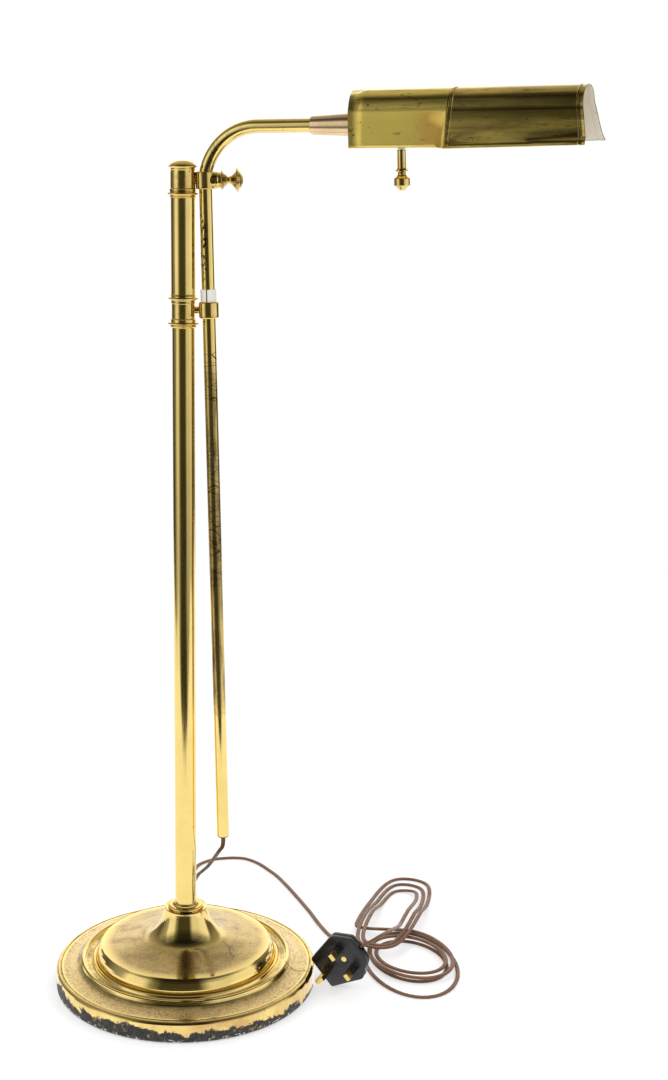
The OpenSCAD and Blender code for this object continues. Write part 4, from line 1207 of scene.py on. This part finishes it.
class LAMP_OT_stage(Operator):
    """Sets up the pale floor, the soft light round the lamp and the camera"""

    bl_idname = "lamp.stage"
    bl_label = "Stage"

    def execute(self, context):
        scene, look = context.scene, context.scene.lamp_studio
        scene.view_settings.view_transform = "Standard"
        self.camera(scene)
        self.floor(look)
        self.surroundings(scene, look)
        for name, place, size, share in LIGHTS:
            lamp = bpy.data.lights.new(name, "AREA")
            lamp.shape, lamp.size, lamp.energy = "SQUARE", size, look.key * share
            holder = bpy.data.objects.new(name, lamp)
            scene.collection.objects.link(holder)
            holder.location = place
            aim = Vector(LIGHT_AIM) - Vector(place)
            holder.rotation_euler = aim.to_track_quat("-Z", "Y").to_euler()
            holder.visible_glossy = False
            holder.visible_camera = False
        return {"FINISHED"}

    def camera(self, scene):
        lens = bpy.data.cameras.new("camera")
        lens.sensor_fit, lens.sensor_height, lens.lens = "VERTICAL", SENSOR, CAMERA_FOCUS * SENSOR
        camera = bpy.data.objects.new("camera", lens)
        scene.collection.objects.link(camera)
        pitch, roll = math.radians(CAMERA_PITCH), math.radians(CAMERA_ROLL)
        ahead = Vector((0, math.cos(pitch), -math.sin(pitch)))
        level = Vector((1, 0, 0))
        right = level * math.cos(roll) + level.cross(ahead) * math.sin(roll)
        up = right.cross(ahead)
        place = Matrix((right, up, -ahead)).transposed().to_4x4()
        place.translation = CAMERA_PLACE
        camera.matrix_world = place
        scene.camera = camera

    def floor(self, look):
        """A matt floor that holds the lamp's shadow, glows for the eye and is white in a mirror."""
        bm = bmesh.new()
        bmesh.ops.create_grid(bm, x_segments=1, y_segments=1, size=1)
        bmesh.ops.scale(bm, vec=FLOOR_HALF, verts=bm.verts)
        bmesh.ops.translate(bm, vec=FLOOR_PLACE, verts=bm.verts)
        floor = placed("floor", bm)
        f = Finish("pale_floor")
        f.tree.nodes.remove(f.shader)
        out = next(n for n in f.tree.nodes if n.type == "OUTPUT_MATERIAL")
        rays = f.node("ShaderNodeLightPath")
        matt = f.node("ShaderNodeBsdfDiffuse")
        f.put(tuple(look.floor), matt.inputs["Color"])
        lift = f.node("ShaderNodeEmission")
        f.put(FLOOR_LIFT, lift.inputs["Strength"])
        glowing = f.node("ShaderNodeAddShader")
        f.put(matt.outputs[0], glowing.inputs[0])
        f.put(lift.outputs[0], glowing.inputs[1])
        bright = f.node("ShaderNodeEmission")
        f.put(FLOOR_MIRRORED, bright.inputs["Strength"])
        direct = f.node("ShaderNodeMixShader")
        f.put(rays.outputs["Is Camera Ray"], direct.inputs[0])
        f.put(matt.outputs[0], direct.inputs[1])
        f.put(glowing.outputs[0], direct.inputs[2])
        mirrored = f.node("ShaderNodeMixShader")
        by_mirror = f.either(rays.outputs["Is Glossy Ray"], rays.outputs["Is Transmission Ray"])
        f.put(by_mirror, mirrored.inputs[0])
        f.put(direct.outputs[0], mirrored.inputs[1])
        f.put(bright.outputs[0], mirrored.inputs[2])
        f.put(mirrored.outputs[0], out.inputs[0])
        f.material.cycles.emission_sampling = "NONE"
        floor.data.materials.append(f.material)

    def surroundings(self, scene, look):
        """White all round for the eye; in polished metal, soft boxes and the dark of the room."""
        world = bpy.data.worlds.new("studio")
        scene.world = world
        world.use_nodes = True
        world.cycles.sampling_method = "NONE"
        w = Nodes(world.node_tree)
        split = w.node("ShaderNodeSeparateXYZ")
        w.put(w.node("ShaderNodeTexCoord").outputs["Generated"], split.inputs[0])
        x, y, z = split.outputs
        turn = w.math("DIVIDE", w.math("ARCTAN2", x, w.times(y, -1.0)), 2 * math.pi)
        height = w.math("DIVIDE", w.math("ARCSINE", z), math.pi)
        room = w.mix(w.ramp(w.plus(height, 0.5), *BOX_HEIGHTS), DARK, w.ramp(w.plus(turn, 0.5), *AROUND))
        over = w.plus(w.times(z, CEILING_UP), w.times(y, CEILING_BACK))
        mirrored = w.mix(1.0, room, w.ramp(over, *CEILING), how="ADD")
        rays = w.node("ShaderNodeLightPath")
        colour = w.mix(rays.outputs["Is Glossy Ray"], (look.fill, look.fill, look.fill), mirrored)
        seen = w.either(rays.outputs["Is Camera Ray"], rays.outputs["Is Transmission Ray"])
        colour = w.mix(seen, colour, WHITE)
        background, out = w.tree.nodes["Background"], w.tree.nodes["World Output"]
        w.put(colour, background.inputs["Color"])
        w.put(background.outputs[0], out.inputs[0])


class LAMP_PT_panel(Panel):
    """Lists the lamp's pieces"""

    bl_label = "Lamp"
    bl_space_type = "VIEW_3D"
    bl_region_type = "UI"
    bl_category = "Lamp"

    def draw(self, context):
        for step in STEPS:
            self.layout.operator(step.bl_idname)
        for group_name, _ in GROUPS:
            group = getattr(context.scene, group_name)
            for name in group.bl_rna.properties.keys():
                if name not in ("rna_type", "name"):
                    self.layout.prop(group, name)


STEPS = (LAMP_OT_stage, LAMP_OT_base, LAMP_OT_upright, LAMP_OT_slide, LAMP_OT_arm,
         LAMP_OT_shade, LAMP_OT_holder, LAMP_OT_plug, LAMP_OT_flex)
GROUPS = (("lamp_brass", BrassLook), ("lamp_flex", FlexSizes), ("lamp_shade", ShadeSizes),
          ("lamp_studio", StudioLook))


def register():
    for name, group in GROUPS:
        bpy.utils.register_class(group)
        setattr(bpy.types.Scene, name, PointerProperty(type=group))
    for made in (*STEPS, LAMP_PT_panel):
        bpy.utils.register_class(made)


def unregister():
    for made in (LAMP_PT_panel, *reversed(STEPS)):
        bpy.utils.unregister_class(made)
    for name, group in reversed(GROUPS):
        delattr(bpy.types.Scene, name)
        bpy.utils.unregister_class(group)


def main():
    register()
    bpy.ops.lamp.stage()
    bpy.ops.lamp.base()
    bpy.ops.lamp.upright()
    bpy.ops.lamp.slide()
    bpy.ops.lamp.arm()
    bpy.ops.lamp.shade()
    bpy.ops.lamp.holder()
    bpy.ops.lamp.plug()
    bpy.ops.lamp.flex()


if __name__ == "__main__":
    main()
